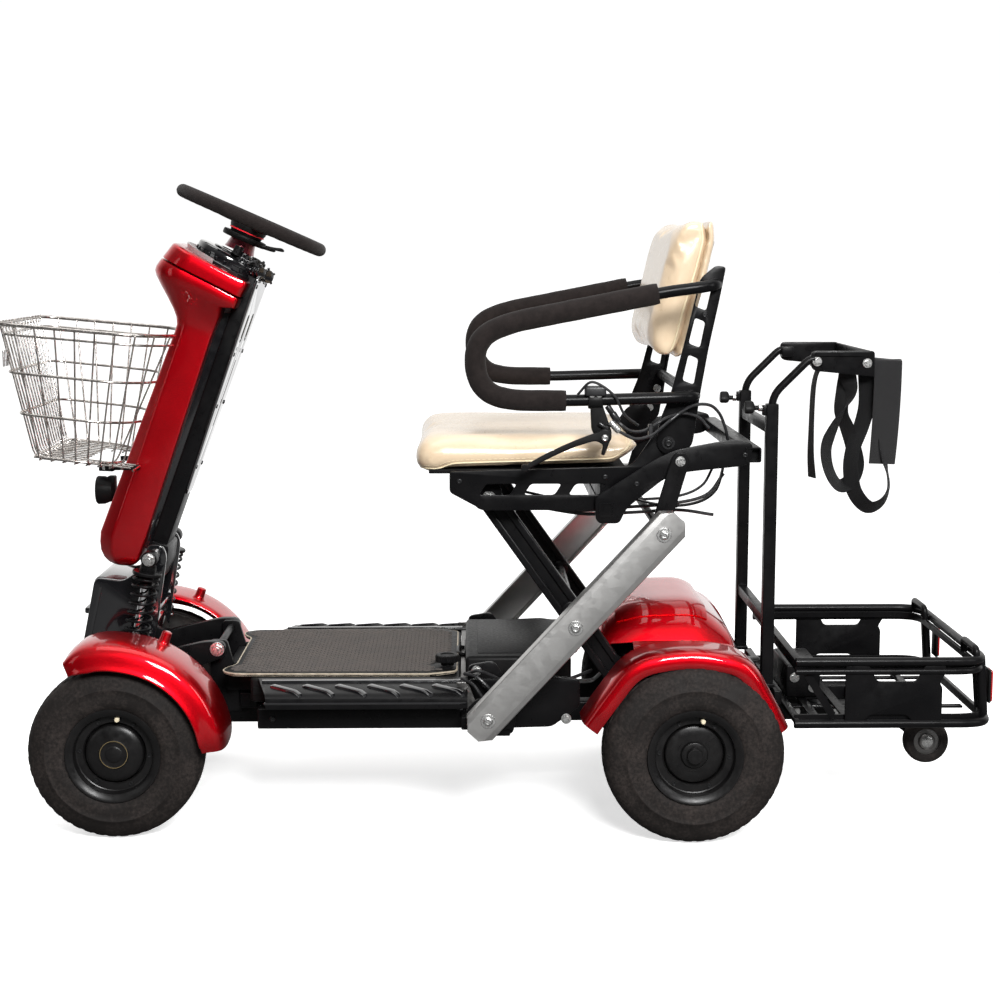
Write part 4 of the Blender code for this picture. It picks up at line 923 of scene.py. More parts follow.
# Columns as in cover_ring: front x z, rear x z, half width, chamfer, three cuts, inset.
HEAD_RINGS = """
    -435.5 859.6 -336.5 805.2 69 26 16 16 9, -440.6 861.2 -332.6 803.4 73.6 26 17 16 9,
    -444 860.6 -330.4 801.2 76.2 26 18 16 9, -446.6 857.6 -331.2 797.6 77.4 26 18 16 9,
    -453 849.6 -336.2 789.4 77.8 26 18 16 9, -459.4 841.8 -340.8 780.8 77.8 26 18 16 9,
    -459.8 841 -341.4 780 77.2 26 18 16 9 0.4, -459.8 840.6 -341.8 779.4 75.4 26 18 16 9 2"""
NECK_RINGS = """
    -461 839.4 -343.4 778.6 76 26 18 16 9 1.6, -461.8 838.6 -343.8 778 78.4 26 18 16 9 0.2,
    -464.4 835.4 -344.6 775.8 79 26 18 16 9, -470 828 -347.4 769.6 78.8 27 18 18 8,
    -472.4 821.6 -350.2 763.8 78.2 28 18 20 8, -471.2 813.6 -368.4 765 75.8 28 18 20 7,
    -465.6 800 -371.6 759.6 70.6 26 17 20 6, -456.4 782 -374.2 751.6 64.8 22 15 18 5,
    -447.4 765 -378.6 742.6 60.6 16 11 14 4, -442.4 752 -382.4 734.6 58.2 13 8 9 3,
    -441.2 741 -386.2 726 57.4 12 6 7 3, -444.6 729.6 -390.2 715.6 57 12 5 5 3"""
FOOT_RINGS = """
    -568 409 -502.6 392.6 56.8 21 4 4 4, -567.2 396 -505.6 383 56.4 21 5 5 5,
    -563 385 -510.4 376.6 54.8 20 6 5 5, -556 377.4 -516.4 373 51 16 6 5 5,
    -548 373.4 -523 371.6 45 10 5 4 4"""
# ends of the straight shroud: front x z, rear x z
SHROUD_TOP, SHROUD_FOOT = (-444.6, 729.6, -390.2, 715.6), (-566.5, 424, -497.6, 407.2)
shroud = []
for i in range(1, 11):
    t = i / 10
    corners = [a + (b - a) * t for a, b in zip(SHROUD_TOP, SHROUD_FOOT)]
    shroud.append((*corners, 57, 12 + 9 * t, 3.2, 3.2, 3))
kit = Kit()
kit.loft([cover_ring(*row) for row in table(HEAD_RINGS)])
kit.make("tiller_head_cap", [RED], "tiller", "red_lacquer", "tiller_cover", sharp=42)
kit = Kit()
kit.loft([cover_ring(*row) for row in table(NECK_RINGS) + shroud + table(FOOT_RINGS)])
kit.make("tiller_long_cover", [RED], "tiller", "red_lacquer", "tiller_cover", sharp=30)

# --- column behind the cover, in its own axes: down, across (Y), depth forward
COLUMN_TOP = Vector((-317, 0, 804))
column_down = (Vector((-482, 0, 355)) - COLUMN_TOP).normalized()
column_ahead = Vector((column_down.z, 0, -column_down.x))
COLUMN = frame_at(COLUMN_TOP, column_down, Y_AXIS, column_ahead)
kit = Kit()
kit.box(-6, 470, -35, 35, 1.2, 26, 2.4, 3, 0, COLUMN)
kit.box(24, 446, -30, 30, 24, 50, 2, 2, 1, COLUMN)
# rider-side panel: a glossy tapering plate with three slots and screws
panel = rounded("""-9 -74 8, -9 74 8, 22 76 30, 60 73 30, 150 60 60, 250 44 60, 338 33 12,
    346 26 6, 346 -26 6, 338 -33 12, 250 -44 60, 150 -60 60, 60 -73 30, 22 -76 30""", 4)
slots = [soften([(54, y - 9), (54, y + 9), (98, y + 9), (98, y - 9)], 8, 5) for y in (-30, 24)]
slots.append(soften([(128, -4), (128, 2), (236, 2), (236, -4)], 2.6, 4))
kit.plate(panel, -1.6, 1.6, plane='xy', holes=slots, bevel=1.2, steps=2, mat=4, place=COLUMN)
kit.box(46, 240, -46, 40, 1.9, 4, 0.6, 1, 2, COLUMN)
for down, y in ((8, -60), (8, 60), (116, 50), (116, -50), (200, -40), (200, 40), (300, -28),
                (300, 28)):
    kit.screw('cap', COLUMN @ Vector((down, y, -1.2)), -column_ahead, 3.2, 1.6, mat=3)
# foot with the fold hinge
kit.plate(soften(table("-493 347, -505 372, -489 410, -462 402, -466 372, -479 343"), 6, 3),
          -44, 44, bevel=1.6, steps=2)
kit.rod((-492, -61, 350), (-492, 61, 350), 7, mat=3)
kit.make("tiller_column_box", [FRAME, GLOSS, PLASTIC, BOLT, PANEL], "tiller", "frame_black",
         "tiller_column")

# --- headlight
LAMP_CENTRE, FORWARD = (-577, 0, 483), (-1, 0, 0)
kit = Kit()
kit.turn("""0 -27, 13 -27, 17 -24, 21.5 -12, 22 -2, 20.6 0, 19.4 0, 18.8 -2.2, 0 -2.2""",
         LAMP_CENTRE, FORWARD)
kit.turn("0 -2.4, 18.8 -2.4, 18.2 -1.2, 12 0.2, 0 0.6", LAMP_CENTRE, FORWARD, mat=1)
kit.box(-560, -548, -9, 9, 470, 505, 2, 2)
kit.rod((-560, -14, 483), (-560, 14, 483), 5)
kit.make("headlight_lamp", [PLASTIC, LAMP], "tiller", "lamp", "headlight")

# --- round pod on top of the head, in its own tilted axes
POD_NORMAL, POD_BACK = Vector((0.4787, 0, 0.8780)), Vector((0.8780, 0, -0.4787))
POD_CENTRE = Vector((-372, 0, 823.4))


def pod(back, y, height):
    return POD_CENTRE + POD_BACK * back + Vector((0, y, 0)) + POD_NORMAL * height


kit = Kit()
kit.turn("""0 0.5, 55 0.5, 55 5, 53.6 6.4, 52.4 7.2, 52.4 12.5, 53.4 13.4, 53.4 19.2, 52.2 21.4,
    49.6 22.6, 44 23.6, 30 24.4, 0 24.6""", pod(0, 0, 0), POD_NORMAL, steps=72)
kit.turn("0 24.2, 30.5 24.2, 31 25, 30.4 26.2, 28 26.9, 21 27.2, 20.4 26.3, 0 26.2",
         pod(0, 0, 0), POD_NORMAL, steps=48)
for i in range(24):
    angle = 2 * pi * i / 24
    radial = POD_BACK * cos(angle) + Vector((0, sin(angle), 0))
    around = POD_BACK * -sin(angle) + Vector((0, cos(angle), 0))
    kit.box(-1.1, 1.1, -1.6, 1.6, 7.4, 12.4, 0.4, 1, 0,
            frame_at(pod(cos(angle) * 53, sin(angle) * 53, 0), radial, around, POD_NORMAL))
# ringed barrels towards the rider: back, y, radius, height
for back, y, radius, height in ((22, -30, 9, 13), (36, -12, 7, 10), (34, 14, 8, 12),
                                (16, 36, 7, 9)):
    place = pod(back, y, 22.5)
    kit.turn([(0, 0), (radius + 2, 0), (radius + 2, 2.6), (radius, 3.4), (radius, height - 1.5),
              (radius - 1.4, height), (radius * 0.55, height), (radius * 0.5, height - 1.5),
              (0, height - 1.5)], place, POD_NORMAL, steps=28)
    kit.turn([(radius + 0.2, 4.6), (radius + 0.8, 5), (radius + 0.8, 5.8), (radius + 0.2, 6.2)],
             place, POD_NORMAL, steps=28, mat=1, close=True)
# two stepped plugs that lean out to the left rear
plug_axis = (POD_BACK * 0.72 + Vector((0, -0.62, 0)) + POD_NORMAL * 0.25).normalized()
plug_u, plug_v, _ = frame_axes(plug_axis)
for place, radius in ((pod(40, -30, 17), 8.5), (pod(50, 2, 15), 9.5)):
    # start, end, radius as a share, bevel, material
    for start, end, share, bevel, mat in ((0, 12, 1, 1.2, 0), (11, 17, 0.7, 0.8, 2),
                                          (16.5, 21, 1.05, 0.8, 0)):
        kit.rod(place + plug_axis * start, place + plug_axis * end, radius * share, bevel, mat)
    for i in range(5):
        angle = 2 * pi * i / 5
        radial = plug_u * cos(angle) + plug_v * sin(angle)
        root = place + plug_axis * 18.6 + radial * radius * 0.95
        kit.rod(root, root + radial * 4.5, 2, 0.5, steps=12)
for i in range(7):
    kit.sweep(spline([pod(30 + 3 * i, -40 + 9 * i, 24),
                      pod(36 + 2 * i, -38 + 9 * i, 31 + (i % 3) * 2),
                      pod(43 + i * 0.8, -33 + 9 * i, 27), pod(46, -30 + 8 * i, 16)], 6),
              1.9, mat=3, ends='round')
kit.make("control_pod_case", [GLOSS, CHROME, ZINC, CABLE], "tiller", "gloss_black",
         "control_pod")


def dial_flutes(row, angle, radius, height):
    """Grooves round the dial's side."""
    return radius - (0.35 if 2 <= row <= 4 and sin(angle * 20) > 0 else 0), height


kit = Kit()
dial = pod(8, -33, 27.4)
kit.turn("0 0, 8 0, 8 1.4, 7.2 2.2, 7 12, 6.2 13.6, 0 14", dial, POD_NORMAL, shape=dial_flutes)
kit.box(-1, 1, -6, 0, 13.4, 14.3, 0.3, 1, 1, frame_at(dial, POD_BACK, Y_AXIS, POD_NORMAL))
kit.make("speed_dial_cap", [PLASTIC, CREAM], "dial", "black_plastic", "speed_dial")
kit = Kit()
kit.turn("0 3.5, 7 3.5, 7 8.8, 6.2 9.8, 3.5 9.6, 0 9.2", pod(8, 33, 27), POD_NORMAL, steps=32)
kit.make("horn_push", [PLASTIC], "horn", "black_plastic", "horn_button")
# smoked shield in front of the pod
kit = Kit()
grid = []
for i in range(19):
    angle = radians(100 + 160 * i / 18)
    grid.append([pod(cos(angle) * (61 + j) - 4, sin(angle) * 60, 0.8 + j * 1.7)
                 for j in range(5)])
kit.shell(grid, 1.6)
kit.make("pod_shield", [SMOKE], "tiller", "gloss_black", sharp=50)

# --- steering wheel, in its own tilted axes
STEER_AXIS, STEER_CENTRE = Vector((0.4003, 0, 0.9164)), Vector((-331, 0, 895))
STEER_BACK = Vector((0.9164, 0, -0.4003))
steer_side = (Vector(Y_AXIS) - STEER_AXIS * 0.0215).normalized()
GRIP_LOOP_RADIUS, GRIP_RADIUS, GRIP_STEPS, GRIP_SECTION = 110.8, 9.9, 120, 22
kit = Kit()
loop = []
for i in range(GRIP_STEPS):
    angle = 2 * pi * i / GRIP_STEPS
    loop.append(STEER_CENTRE + STEER_BACK * (GRIP_LOOP_RADIUS * cos(angle))
                + steer_side * (GRIP_LOOP_RADIUS * sin(angle)))
rings = []
for i, (point, along, normal) in enumerate(zip(*path_frames(loop, True, STEER_AXIS))):
    ring = []
    for j in range(GRIP_SECTION):
        angle = 2 * pi * j / GRIP_SECTION
        # finger waves on the underside
        wave = 0.4 * (0.5 + 0.5 * cos(i * 2 * pi / 3)) if sin(angle) < -0.4 else 0
        radius = GRIP_RADIUS - wave
        ring.append(point + normal * (radius * sin(angle))
                    + along.cross(normal) * (radius * cos(angle)))
    rings.append(ring)
kit.loft(rings, close=True)
# hub, red line and stem
kit.turn("""0 4.6, 12 4.4, 20 3.4, 25.5 1.2, 28 -3, 29 -9, 28.2 -15, 25 -22, 23.4 -27,
    23 -29.4, 0 -29.4""", STEER_CENTRE, STEER_AXIS, steps=48, mat=1)
kit.turn("26.6 -18.3, 27.5 -18.9, 27.5 -20.1, 26 -20.4", STEER_CENTRE, STEER_AXIS, steps=48,
         mat=2, close=True)
kit.turn("0 -29.2, 18.5 -29.2, 19.4 -30.4, 19.8 -34, 22 -44, 23.8 -49.6, 0 -49.6",
         STEER_CENTRE, STEER_AXIS, mat=3)
for i in range(3):
    angle = radians(120 * i + 180)
    radial = STEER_BACK * cos(angle) + Vector((0, sin(angle), 0))
    # spoke: (distance out, depth below the wheel's centre)
    path = spline([STEER_CENTRE + radial * out - STEER_AXIS * depth for out, depth in
                   ((18, 7), (40, 7.4), (70, 5.6), (92, 2.8), (107, 0.6))], 5)
    count = len(path)
    kit.sweep(path, oval(4.2, 16, 8.6), up=STEER_AXIS, mat=1,
              scale=[1.25 - 0.35 * min(1, j / (count * 0.5)) + 0.25 * max(0, j / count - 0.7)
                     for j in range(count)])
kit.make("steering_wheel_rim", [FOAM, PLASTIC, RED_LINE, STEM], "handwheel", "black_plastic",
         "steering_wheel", sharp=36)

kit = Kit()
kit.turn("26 -33.2, 33 -33.2, 34 -31.6, 34 -26.6, 33 -25, 26 -25, 25.4 -27, 25.4 -31",
         STEER_CENTRE, STEER_AXIS, steps=48, close=True)
for sign in (-1, 1):
    radial = (STEER_BACK * 0.62 + Vector((0, sign * 0.785, 0))).normalized()
    path = spline([STEER_CENTRE - STEER_AXIS * depth + radial * out for depth, out in
                   ((29, 30), (29.5, 50), (28, 70), (26, 84))], 6)
    kit.sweep(path, oval(2.2, 14, 5.2), up=STEER_AXIS, ends='round',
              scale=[0.85 + 0.75 * max(0, j / len(path) - 0.45) for j in range(len(path))])
kit.make("throttle_paddles", [PLASTIC], "throttle", "black_plastic", "throttle_lever", sharp=36)

# --- wire basket; levels run from 0 at the rim to 1 at the floor
RIM_FRONT_X, FLOOR_FRONT_X = -690, -648
NOTCH = 62.5          # half width of the gap that takes the tiller
WIRE_RADIUS = 1.35


def rim_z(x):
    return 748 - 24 * (x - RIM_FRONT_X) / 270


def floor_z(x):
    return 544 - 18 * (x - FLOOR_FRONT_X) / 148


def basket_half_width(level):
    return 145 - 17 * level


def hoop_path(level, corner=26, grow=0.0, lift=0.0):
    """From the notch round the front and back to the notch."""
    front = RIM_FRONT_X + (FLOOR_FRONT_X - RIM_FRONT_X) * level + 3 - grow
    rear = -420 - 80 * level - 3
    half = basket_half_width(level) + grow
    notch_x = -448 + (level * 200) * (-123 / 300) + 6
    flank = [(notch_x, NOTCH), (rear - 30, NOTCH + 34), (rear - 62, half), (front, half)]
    loop = soften([(x, -y) for x, y in flank] + flank[::-1],
                  [0, 18, 30, corner, corner, 30, 18, 0], 8, closed=False)
    return [(x, y, rim_z(x) + (floor_z(x) - rim_z(x)) * level + lift) for x, y in loop]


kit = Kit()
kit.sweep(hoop_path(0, grow=0.4, lift=-2.6), 2.7, ends='round')
kit.sweep(hoop_path(0.03, grow=-3.4, lift=-11), 1.8, ends='round')
for level in (0.36, 0.66):
    kit.sweep(hoop_path(level, grow=2.6), 2, ends='round')
kit.sweep(hoop_path(0.985, 20, grow=-2, lift=3), 2, ends='round')


def wall_wire(top, bend, end):
    """A wall wire that bends into the floor."""
    kit.sweep(soften([top, bend, end], [0, 16, 0], 6, closed=False), WIRE_RADIUS, ends='round')


# front wires, as shares of the width
FRONT_SHARES = [-1 + 2 * i / 14 for i in range(15)]
for share in FRONT_SHARES:
    top_x = -687 + (2 if abs(share) > 0.93 else 0)
    y = share * 108
    wall_wire((top_x, share * 126, rim_z(top_x) - 4), (-645, y, floor_z(-645) + 2),
              (-619, y, floor_z(-619) + 2))
for sign in (-1, 1):
    for i in range(7):
        x = -661 + 29.2 * i
        foot_x = -634 + (x + 661) * 0.6
        z = floor_z(foot_x) + 2
        wall_wire((x, sign * (basket_half_width(0) - 1.6), rim_z(x) - 4),
                  (foot_x, sign * (basket_half_width(1) - 1), z),
                  (foot_x, sign * (basket_half_width(1) - 26), z))
    # short wires of the angled rear flanks
    for x, y, foot_x, foot_y in ((-462, 121, -541, 104), (-444, 92, -556, 84)):
        wall_wire((x, sign * y, rim_z(x) - 4),
                  (foot_x + 24, sign * foot_y, floor_z(foot_x + 24) + 3),
                  (foot_x + 4, sign * foot_y, floor_z(foot_x) + 3))
# floor wires: first across, parted behind the front by the notch, then fore and aft
half = basket_half_width(1) - 2
for i in range(9):
    x = -634 + 17 * i
    z = floor_z(x) + 2.2
    for start, end in ((-half, -64), (half, 64)) if x > -572 else ((-half, half),):
        kit.sweep([(x, start, z), (x, end, z)], WIRE_RADIUS)
for i in range(13):
    y = -120 + 20 * i
    x = -502 if abs(y) > 62 else -575
    kit.sweep([(-644, y, floor_z(-644) + 4.6), (x, y, floor_z(x) + 4.6)], 1.15)
# wires hooked over the rim
for share in FRONT_SHARES:
    y, z = share * 126, rim_z(-687)
    kit.sweep([(-684, y, z - 9), (-687.5, y, z - 3.4), (-684.5, y, z + 0.2)], 1.25, ends='round')
# plain plate on the front
kit.box(-680.5, -678.9, -136, -100, 682, 706, 0.5, 2, 1)
kit.make("basket_wirework", [WIRE, CHROME], "tiller", "basket_wire", "basket", sharp=60)
kit = Kit()
kit.boxes("-552 -500 -62.2 -59.8 521 529 0.6, -552 -500 59.8 62.2 521 529 0.6")
kit.plate(soften(table("-572 514, -548 513, -546 523, -570 525"), 3, 3), -14, 14, bevel=1)
kit.screw('hex', (-562, -14.4, 519), (0, -1, 0), 4, 2.2)
kit.make("basket_bracket", [FRAME, ZINC], "tiller", "basket_wire")

# --- tiller base housing
kit = Kit()
kit.plate(rounded("""-597 240 14, -597 163.5 4, -478 163.5 4, -484 290 10, -512 308 10,
    -528 350 8, -572 360 12""", 4), -61.5, 61.5, bevel=3.5, steps=3)
for sign in (-1, 1):
    outward = (0, sign, 0)
    kit.plate(rounded("""-595 240 12, -595 165 4, -480 165 4, -484 250 8, -461 392 10,
        -468 408 8, -490 408 8, -497 372 8, -529 352 8, -571 358 10""", 4),
              sign * 61, sign * 70, bevel=1.8, steps=2)
    # raised rib along the side, two screws, pivot boss
    kit.sweep([(-586, sign * 70, 244), (-562, sign * 70, 344)],
              table("1.2 -2, 1.2 2, -1.2 2.6, -1.2 -2.6"), up=outward)
    for x in (-574, -503):
        kit.screw('button', (x, sign * 70, 180), outward, 4.2, 2.4)
    kit.screw('hex', (-492, sign * 70, 350), outward, 8.5, 4.5, 12, mat=2)
    kit.rod((-479, sign * 66, 394), (-479, sign * 96, 394), 8, mat=2)
kit.box(-590, -478, -58, 58, 300, 309, 2)
kit.make("tiller_base_housing", [GLOSS, BOLT, ZINC], "chassis", "black_plastic", "tiller_base")

# --- shocks, drawn from their top pins along their own axis
SHOCK_AXIS = Vector((-0.1985, 0, -0.9801))
SPRING_RADIUS, SPRING_START, SPRING_END = 17.8, 27.8, 123.2
SPRING_TURNS, SPRING_PER_TURN = 8.2, 22


def spring_path(top):
    """Helix whose first and last turns are nearly closed."""
    side, other, along = frame_axes(SHOCK_AXIS, Y_AXIS)
    out = []
    for i in range(int(SPRING_TURNS * SPRING_PER_TURN) + 1):
        turned = i / SPRING_PER_TURN
        climbed = (turned - 0.55 * min(turned, 1)
                   - 0.55 * max(0, turned - (SPRING_TURNS - 1)))
        depth = SPRING_START + (SPRING_END - SPRING_START) * climbed / (SPRING_TURNS - 1.1)
        angle = 2 * pi * turned
        out.append(top + along * depth + side * (SPRING_RADIUS * cos(angle))
                   + other * (SPRING_RADIUS * sin(angle)))
    return out


for side, sign in SIDES:
    top = Vector((-479, sign * 112, 394))
    kit = Kit()
    kit.turn("""0 9, 11.4 9, 11.8 12, 11.8 19.4, 21 20, 22 21, 22 24, 21 25, 11.2 25, 11 26,
        10 43, 9.2 45, 7.2 45, 0 44.4""", top, SHOCK_AXIS, steps=36)
    for i in range(4):
        low = 13 + i * 1.5
        kit.turn([(11.8, low), (12.3, low + 0.4), (12.3, low + 0.9), (11.8, low + 1.3)],
                 top, SHOCK_AXIS, steps=30, close=True)
    kit.rod(top - Vector((0, 11, 0)), top + Vector((0, 11, 0)), 12, 1.4)
    kit.screw('nut', top + Vector((0, sign * 11, 0)), (0, sign, 0), 8.2, 5.2, 9.6)
    kit.make("shock_can_" + side, [FRAME, ZINC], "chassis", "frame_black", "shock_body_" + side)
    kit = Kit()
    kit.turn("""0 36, 6 36, 6 126, 21 126, 22 127, 22 130, 21 131, 9 131, 8 132, 8 137, 7 138,
        0 138""", top, SHOCK_AXIS, steps=32)
    kit.make("shock_piston_" + side, [CHROME], "shock_rods", "chrome", "shock_rod_" + side)
    kit = Kit()
    kit.sweep(spring_path(top), 2.15, ends='bev')
    kit.make("shock_spring_" + side, [FRAME], "shock_rods", "frame_black", "spring_" + side,
             sharp=50)

# --- suspension arms
kit = Kit()
for sign in (-1, 1):
    kit.plate(rounded("""-372 262 10, -372 240 8, -440 215 14, -498 112 14, -536 104 6,
        -538 150 8, -505 176 12, -505 238 8, -470 248 10, -400 264 12""", 4),
              sign * 80, sign * 96, bevel=1.6, steps=2)
    for low, high in ((149, 160), (96, 107)):
        kit.box(-525, -507, sign * 90, sign * 138, low, high, 1.6)
        kit.rod((FRONT_AXLE[0], sign * 130, low - 1), (FRONT_AXLE[0], sign * 130, high + 1),
                9, 0.8)
    kit.box(-514, -494, sign * 90, sign * 124, 216, 244, 2)
    kit.screw('nut', (-384, sign * 96, 252), (0, sign, 0), 8, 5, 11)
    kit.screw('nut', (-504, sign * 124, 233), (0, sign, 0), 6.6, 4, 9)
kit.rod((-384, -88, 252), (-384, 88, 252), 5.6)
kit.make("suspension_levers", [FRAME, ZINC], "front_suspension", "frame_black",
         "suspension_arms")

# --- steering knuckles
for side, sign in SIDES:
    x, z = FRONT_AXLE
    y = sign * 130
    kit = Kit()
    kit.rod((x, y, 93), (x, y, 165), 4.9, mat=1)
    kit.rod((x, y, 109), (x, y, 147), 12, 1.2)
    kit.screw('nut', (x, y, 163), Z_AXIS, 6.5, 3.6)
    kit.rod((x, y, z), (x, sign * 176, z), 9, 0.8)
    kit.rod((x, sign * 160, z), (x, sign * 172, z), 14, 1)
    kit.box(x + 7, x + 20, sign * 124, sign * 139, 113, 143, 1.2)
    kit.plate([(x - 7, 126), (x + 7, 126), (x + 7, 287), (x - 7, 287)],
              sign * 147, sign * 151.2, bevel=0.9)
    kit.box(x - 6, x + 6, sign * 132, sign * 150, 118, 139, 1)
    kit.screw('hex', (x, sign * 147, 276), (0, -sign, 0), 4.6, 3)
    kit.make("knuckle_forging_" + side, [FRAME, ZINC], "steering_" + side, "frame_black",
             "knuckle_" + side)

# --- main frame: the right side is drawn, then mirrored, then the cross members
kit = Kit()
kit.plate(rounded("""-545 133 3, 215 133 3, 243 172.5 8, 440 172.5 8, 470 133 8, 618 133 3,
    664 118 8, 684 97 8, 700 97 8, 707 112 8, 692 127 8, 632 158 8, 473.5 158 5, 467 200 5,
    232 200 8, 196 163 8, -545 163 3"""), 45, 75, bevel=2.2, steps=2)
kit.box(-312, 60, 185, 205, 157, 187, 2.2, 3)
kit.plate(soften(table("-2 157, 118 160, 159 190, 159 230, 118 236, -3 231"), 6, 3),
          202, 210, bevel=1.2)
kit.plate(soften(table("246 206, 246 148, 260 138, 288 146, 288 206"), 6, 4), 150, 158,
          bevel=1.2)
kit.boxes("""-14 60 256 267 171 190 2 3, 19 56 190 262 160.5 185.5 1.6,
    -14 4 190 262 171 185.5 1.6""")
kit.plate(soften(table("-398 262, -398 150, -350 150, -358 210, -372 262"), 6, 4), 68, 77,
          bevel=1.2)
# plugs, bolts and weld beads
for x in (-290, 35):
    kit.screw('button', (x, 205, 172), Y_AXIS, 4.5, 2.4, mat=2)
kit.screw('hex', (139, 210, 172), Y_AXIS, 5.4, 3.4, 7.6)
kit.screw('button', (20, 210, 222), Y_AXIS, 4.4, 2.6, mat=2)
for x in (500, 560, 600):
    kit.screw('hex', (x, 75, 146), Y_AXIS, 5, 3, 7.4)
kit.screw('nut', (INNER_FOOT[0], 158, INNER_FOOT[1]), Y_AXIS, 9.5, 5.5, 13)
for x, z in ((-311, 159), (-311, 183), (22, 159.5), (50, 183)):
    kit.sweep([(x, 172 + i * 2.6, z + sin(i * 2.2) * 0.4) for i in range(6)], 1.5, ends='round')
kit.mirror()
kit.boxes("""-311 -284 -204 204 159 183 2 3, -352 -326 -90 90 159 183 2 3,
    -544 -515 -74 74 134 161 2 3, -200 -170 -204 204 159 183 2 3,
    22 50 -204 204 159.5 183 2 3, 250 284 -156 156 178 198 2 3,
    453.6 465.5 -148 148 176 197 1.6 3, 600 630 -74 74 135 156 1.6 3""")
kit.turn("6.7 -98, 11.2 -98, 12 -97, 12 97, 11.2 98, 6.7 98", (692, 0, 111), Y_AXIS, steps=32,
         close=True)
kit.make("main_frame_tubes", [FRAME, ZINC, BOLT], "chassis", "frame_black", "main_frame")

# --- deck tray
kit = Kit()
kit.plate(rounded("""-372 -60 3, -372 60 3, -331 60 3, -331 84 3, -372 84 3, -372 93 3,
    -327 94 3, -327 166 10, -16 166 8, -16 -166 8, -327 -166 10, -327 -94 3, -372 -93 3,
    -372 -84 3, -331 -84 3, -331 -60 3"""), 187.5, 222.4, plane='xy', bevel=3, steps=3)
for sign in (-1, 1):
    kit.sweep([(-322, sign * 166.2, 205), (-21, sign * 166.2, 205)],
              table("1.4 -5, 1.4 5, -1.4 6, -1.4 -6"), up=(0, sign, 0))
kit.make("deck_tray_shell", [PLASTIC], "chassis", "black_plastic", "deck_tray")

# --- floor mat: a sheet with a cream cut edge and a raised brick tread
MAT_OUTLINE = table("""-368 -118, -370 -138, -350 -153, -61 -158, -22 -140, -22 140, -61 158,
    -350 153, -370 138, -368 118, -354 95, -354 -95""")
KNOB_X, KNOB_Y, KNOB_CLEARANCE = -35.5, -112, 25
BRICK_X, BRICK_Y, BRICK_LOW, BRICK_TOP = 12, 7.2, 228.6, 230


def inside(x, y, loop):
    """True where the point lies within the closed loop."""
    found = False
    for i in range(len(loop)):
        (x0, y0), (x1, y1) = loop[i], loop[i - 1]
        if (y0 > y) != (y1 > y) and x < (x1 - x0) * (y - y0) / (y1 - y0) + x0:
            found = not found
    return found


def brick_ring(x, y, inset, z):
    return [(x + inset, y + inset, z), (x + BRICK_X - inset, y + inset, z),
            (x + BRICK_X - inset, y + BRICK_Y - inset, z), (x + inset, y + BRICK_Y - inset, z)]


kit = Kit()
mat_loop = soften(MAT_OUTLINE, 10, 4)
# the sheet under the brick tread is black plastic, darker than the rubber bricks, as painted shade
# in the gaps between them
kit.plate(mat_loop, 222.8, 228.9, plane='xy', bevel=0.5, mat=2)
kit.plate(mat_loop, 223.4, 225.2, plane='xy', bevel=0.1, mat=1)
kit.sweep([(x, y, 227.4) for x, y in mat_loop], table("1.1 -1.9, 1.1 1.9, -0.9 1.9, -0.9 -1.9"),
          cyclic=True, up=Z_AXIS, mat=1)
tread_loop = soften([(x * 0.984 - 3.1, y * 0.968) for x, y in MAT_OUTLINE], 10, 3)
for row in range(43):
    y = -154 + BRICK_Y * row
    for column in range(29):
        x = -366 + BRICK_X * column + (BRICK_X / 2 if row % 2 else 0)
        if hypot(x + BRICK_X / 2 - KNOB_X, y + BRICK_Y / 2 - KNOB_Y) <= KNOB_CLEARANCE:
            continue
        if all(inside(a, b, tread_loop) for a, b, _ in brick_ring(x, y, 0, 0)):
            kit.put(brick_ring(x, y, 0.5, BRICK_LOW) + brick_ring(x, y, 1.25, BRICK_TOP),
                    [(3, 2, 1, 0), (0, 1, 5, 4), (1, 2, 6, 5), (2, 3, 7, 6), (3, 0, 4, 7),
                     (4, 5, 6, 7)])
kit.make("deck_mat_rubber", [MAT_RUBBER, MAT_EDGE, PLASTIC], "chassis", "mat_rubber",
         "deck_mat", sharp=30)


def knob_flutes(row, angle, radius, height):
    return radius - (1 if radius > 16.5 and sin(angle * 24) > 0 else 0), height


kit = Kit()
kit.turn("""0 -5.6, 10 -5.6, 10 0, 17.2 0, 18 1, 18 9.2, 16.8 10.6, 11 11, 9.5 9.6, 0 9.2""",
         (KNOB_X, KNOB_Y, 236), Z_AXIS, steps=96, shape=knob_flutes)
kit.make("deck_lock_knob", [PLASTIC], "deck_lock", "black_plastic", "deck_knob", sharp=30)

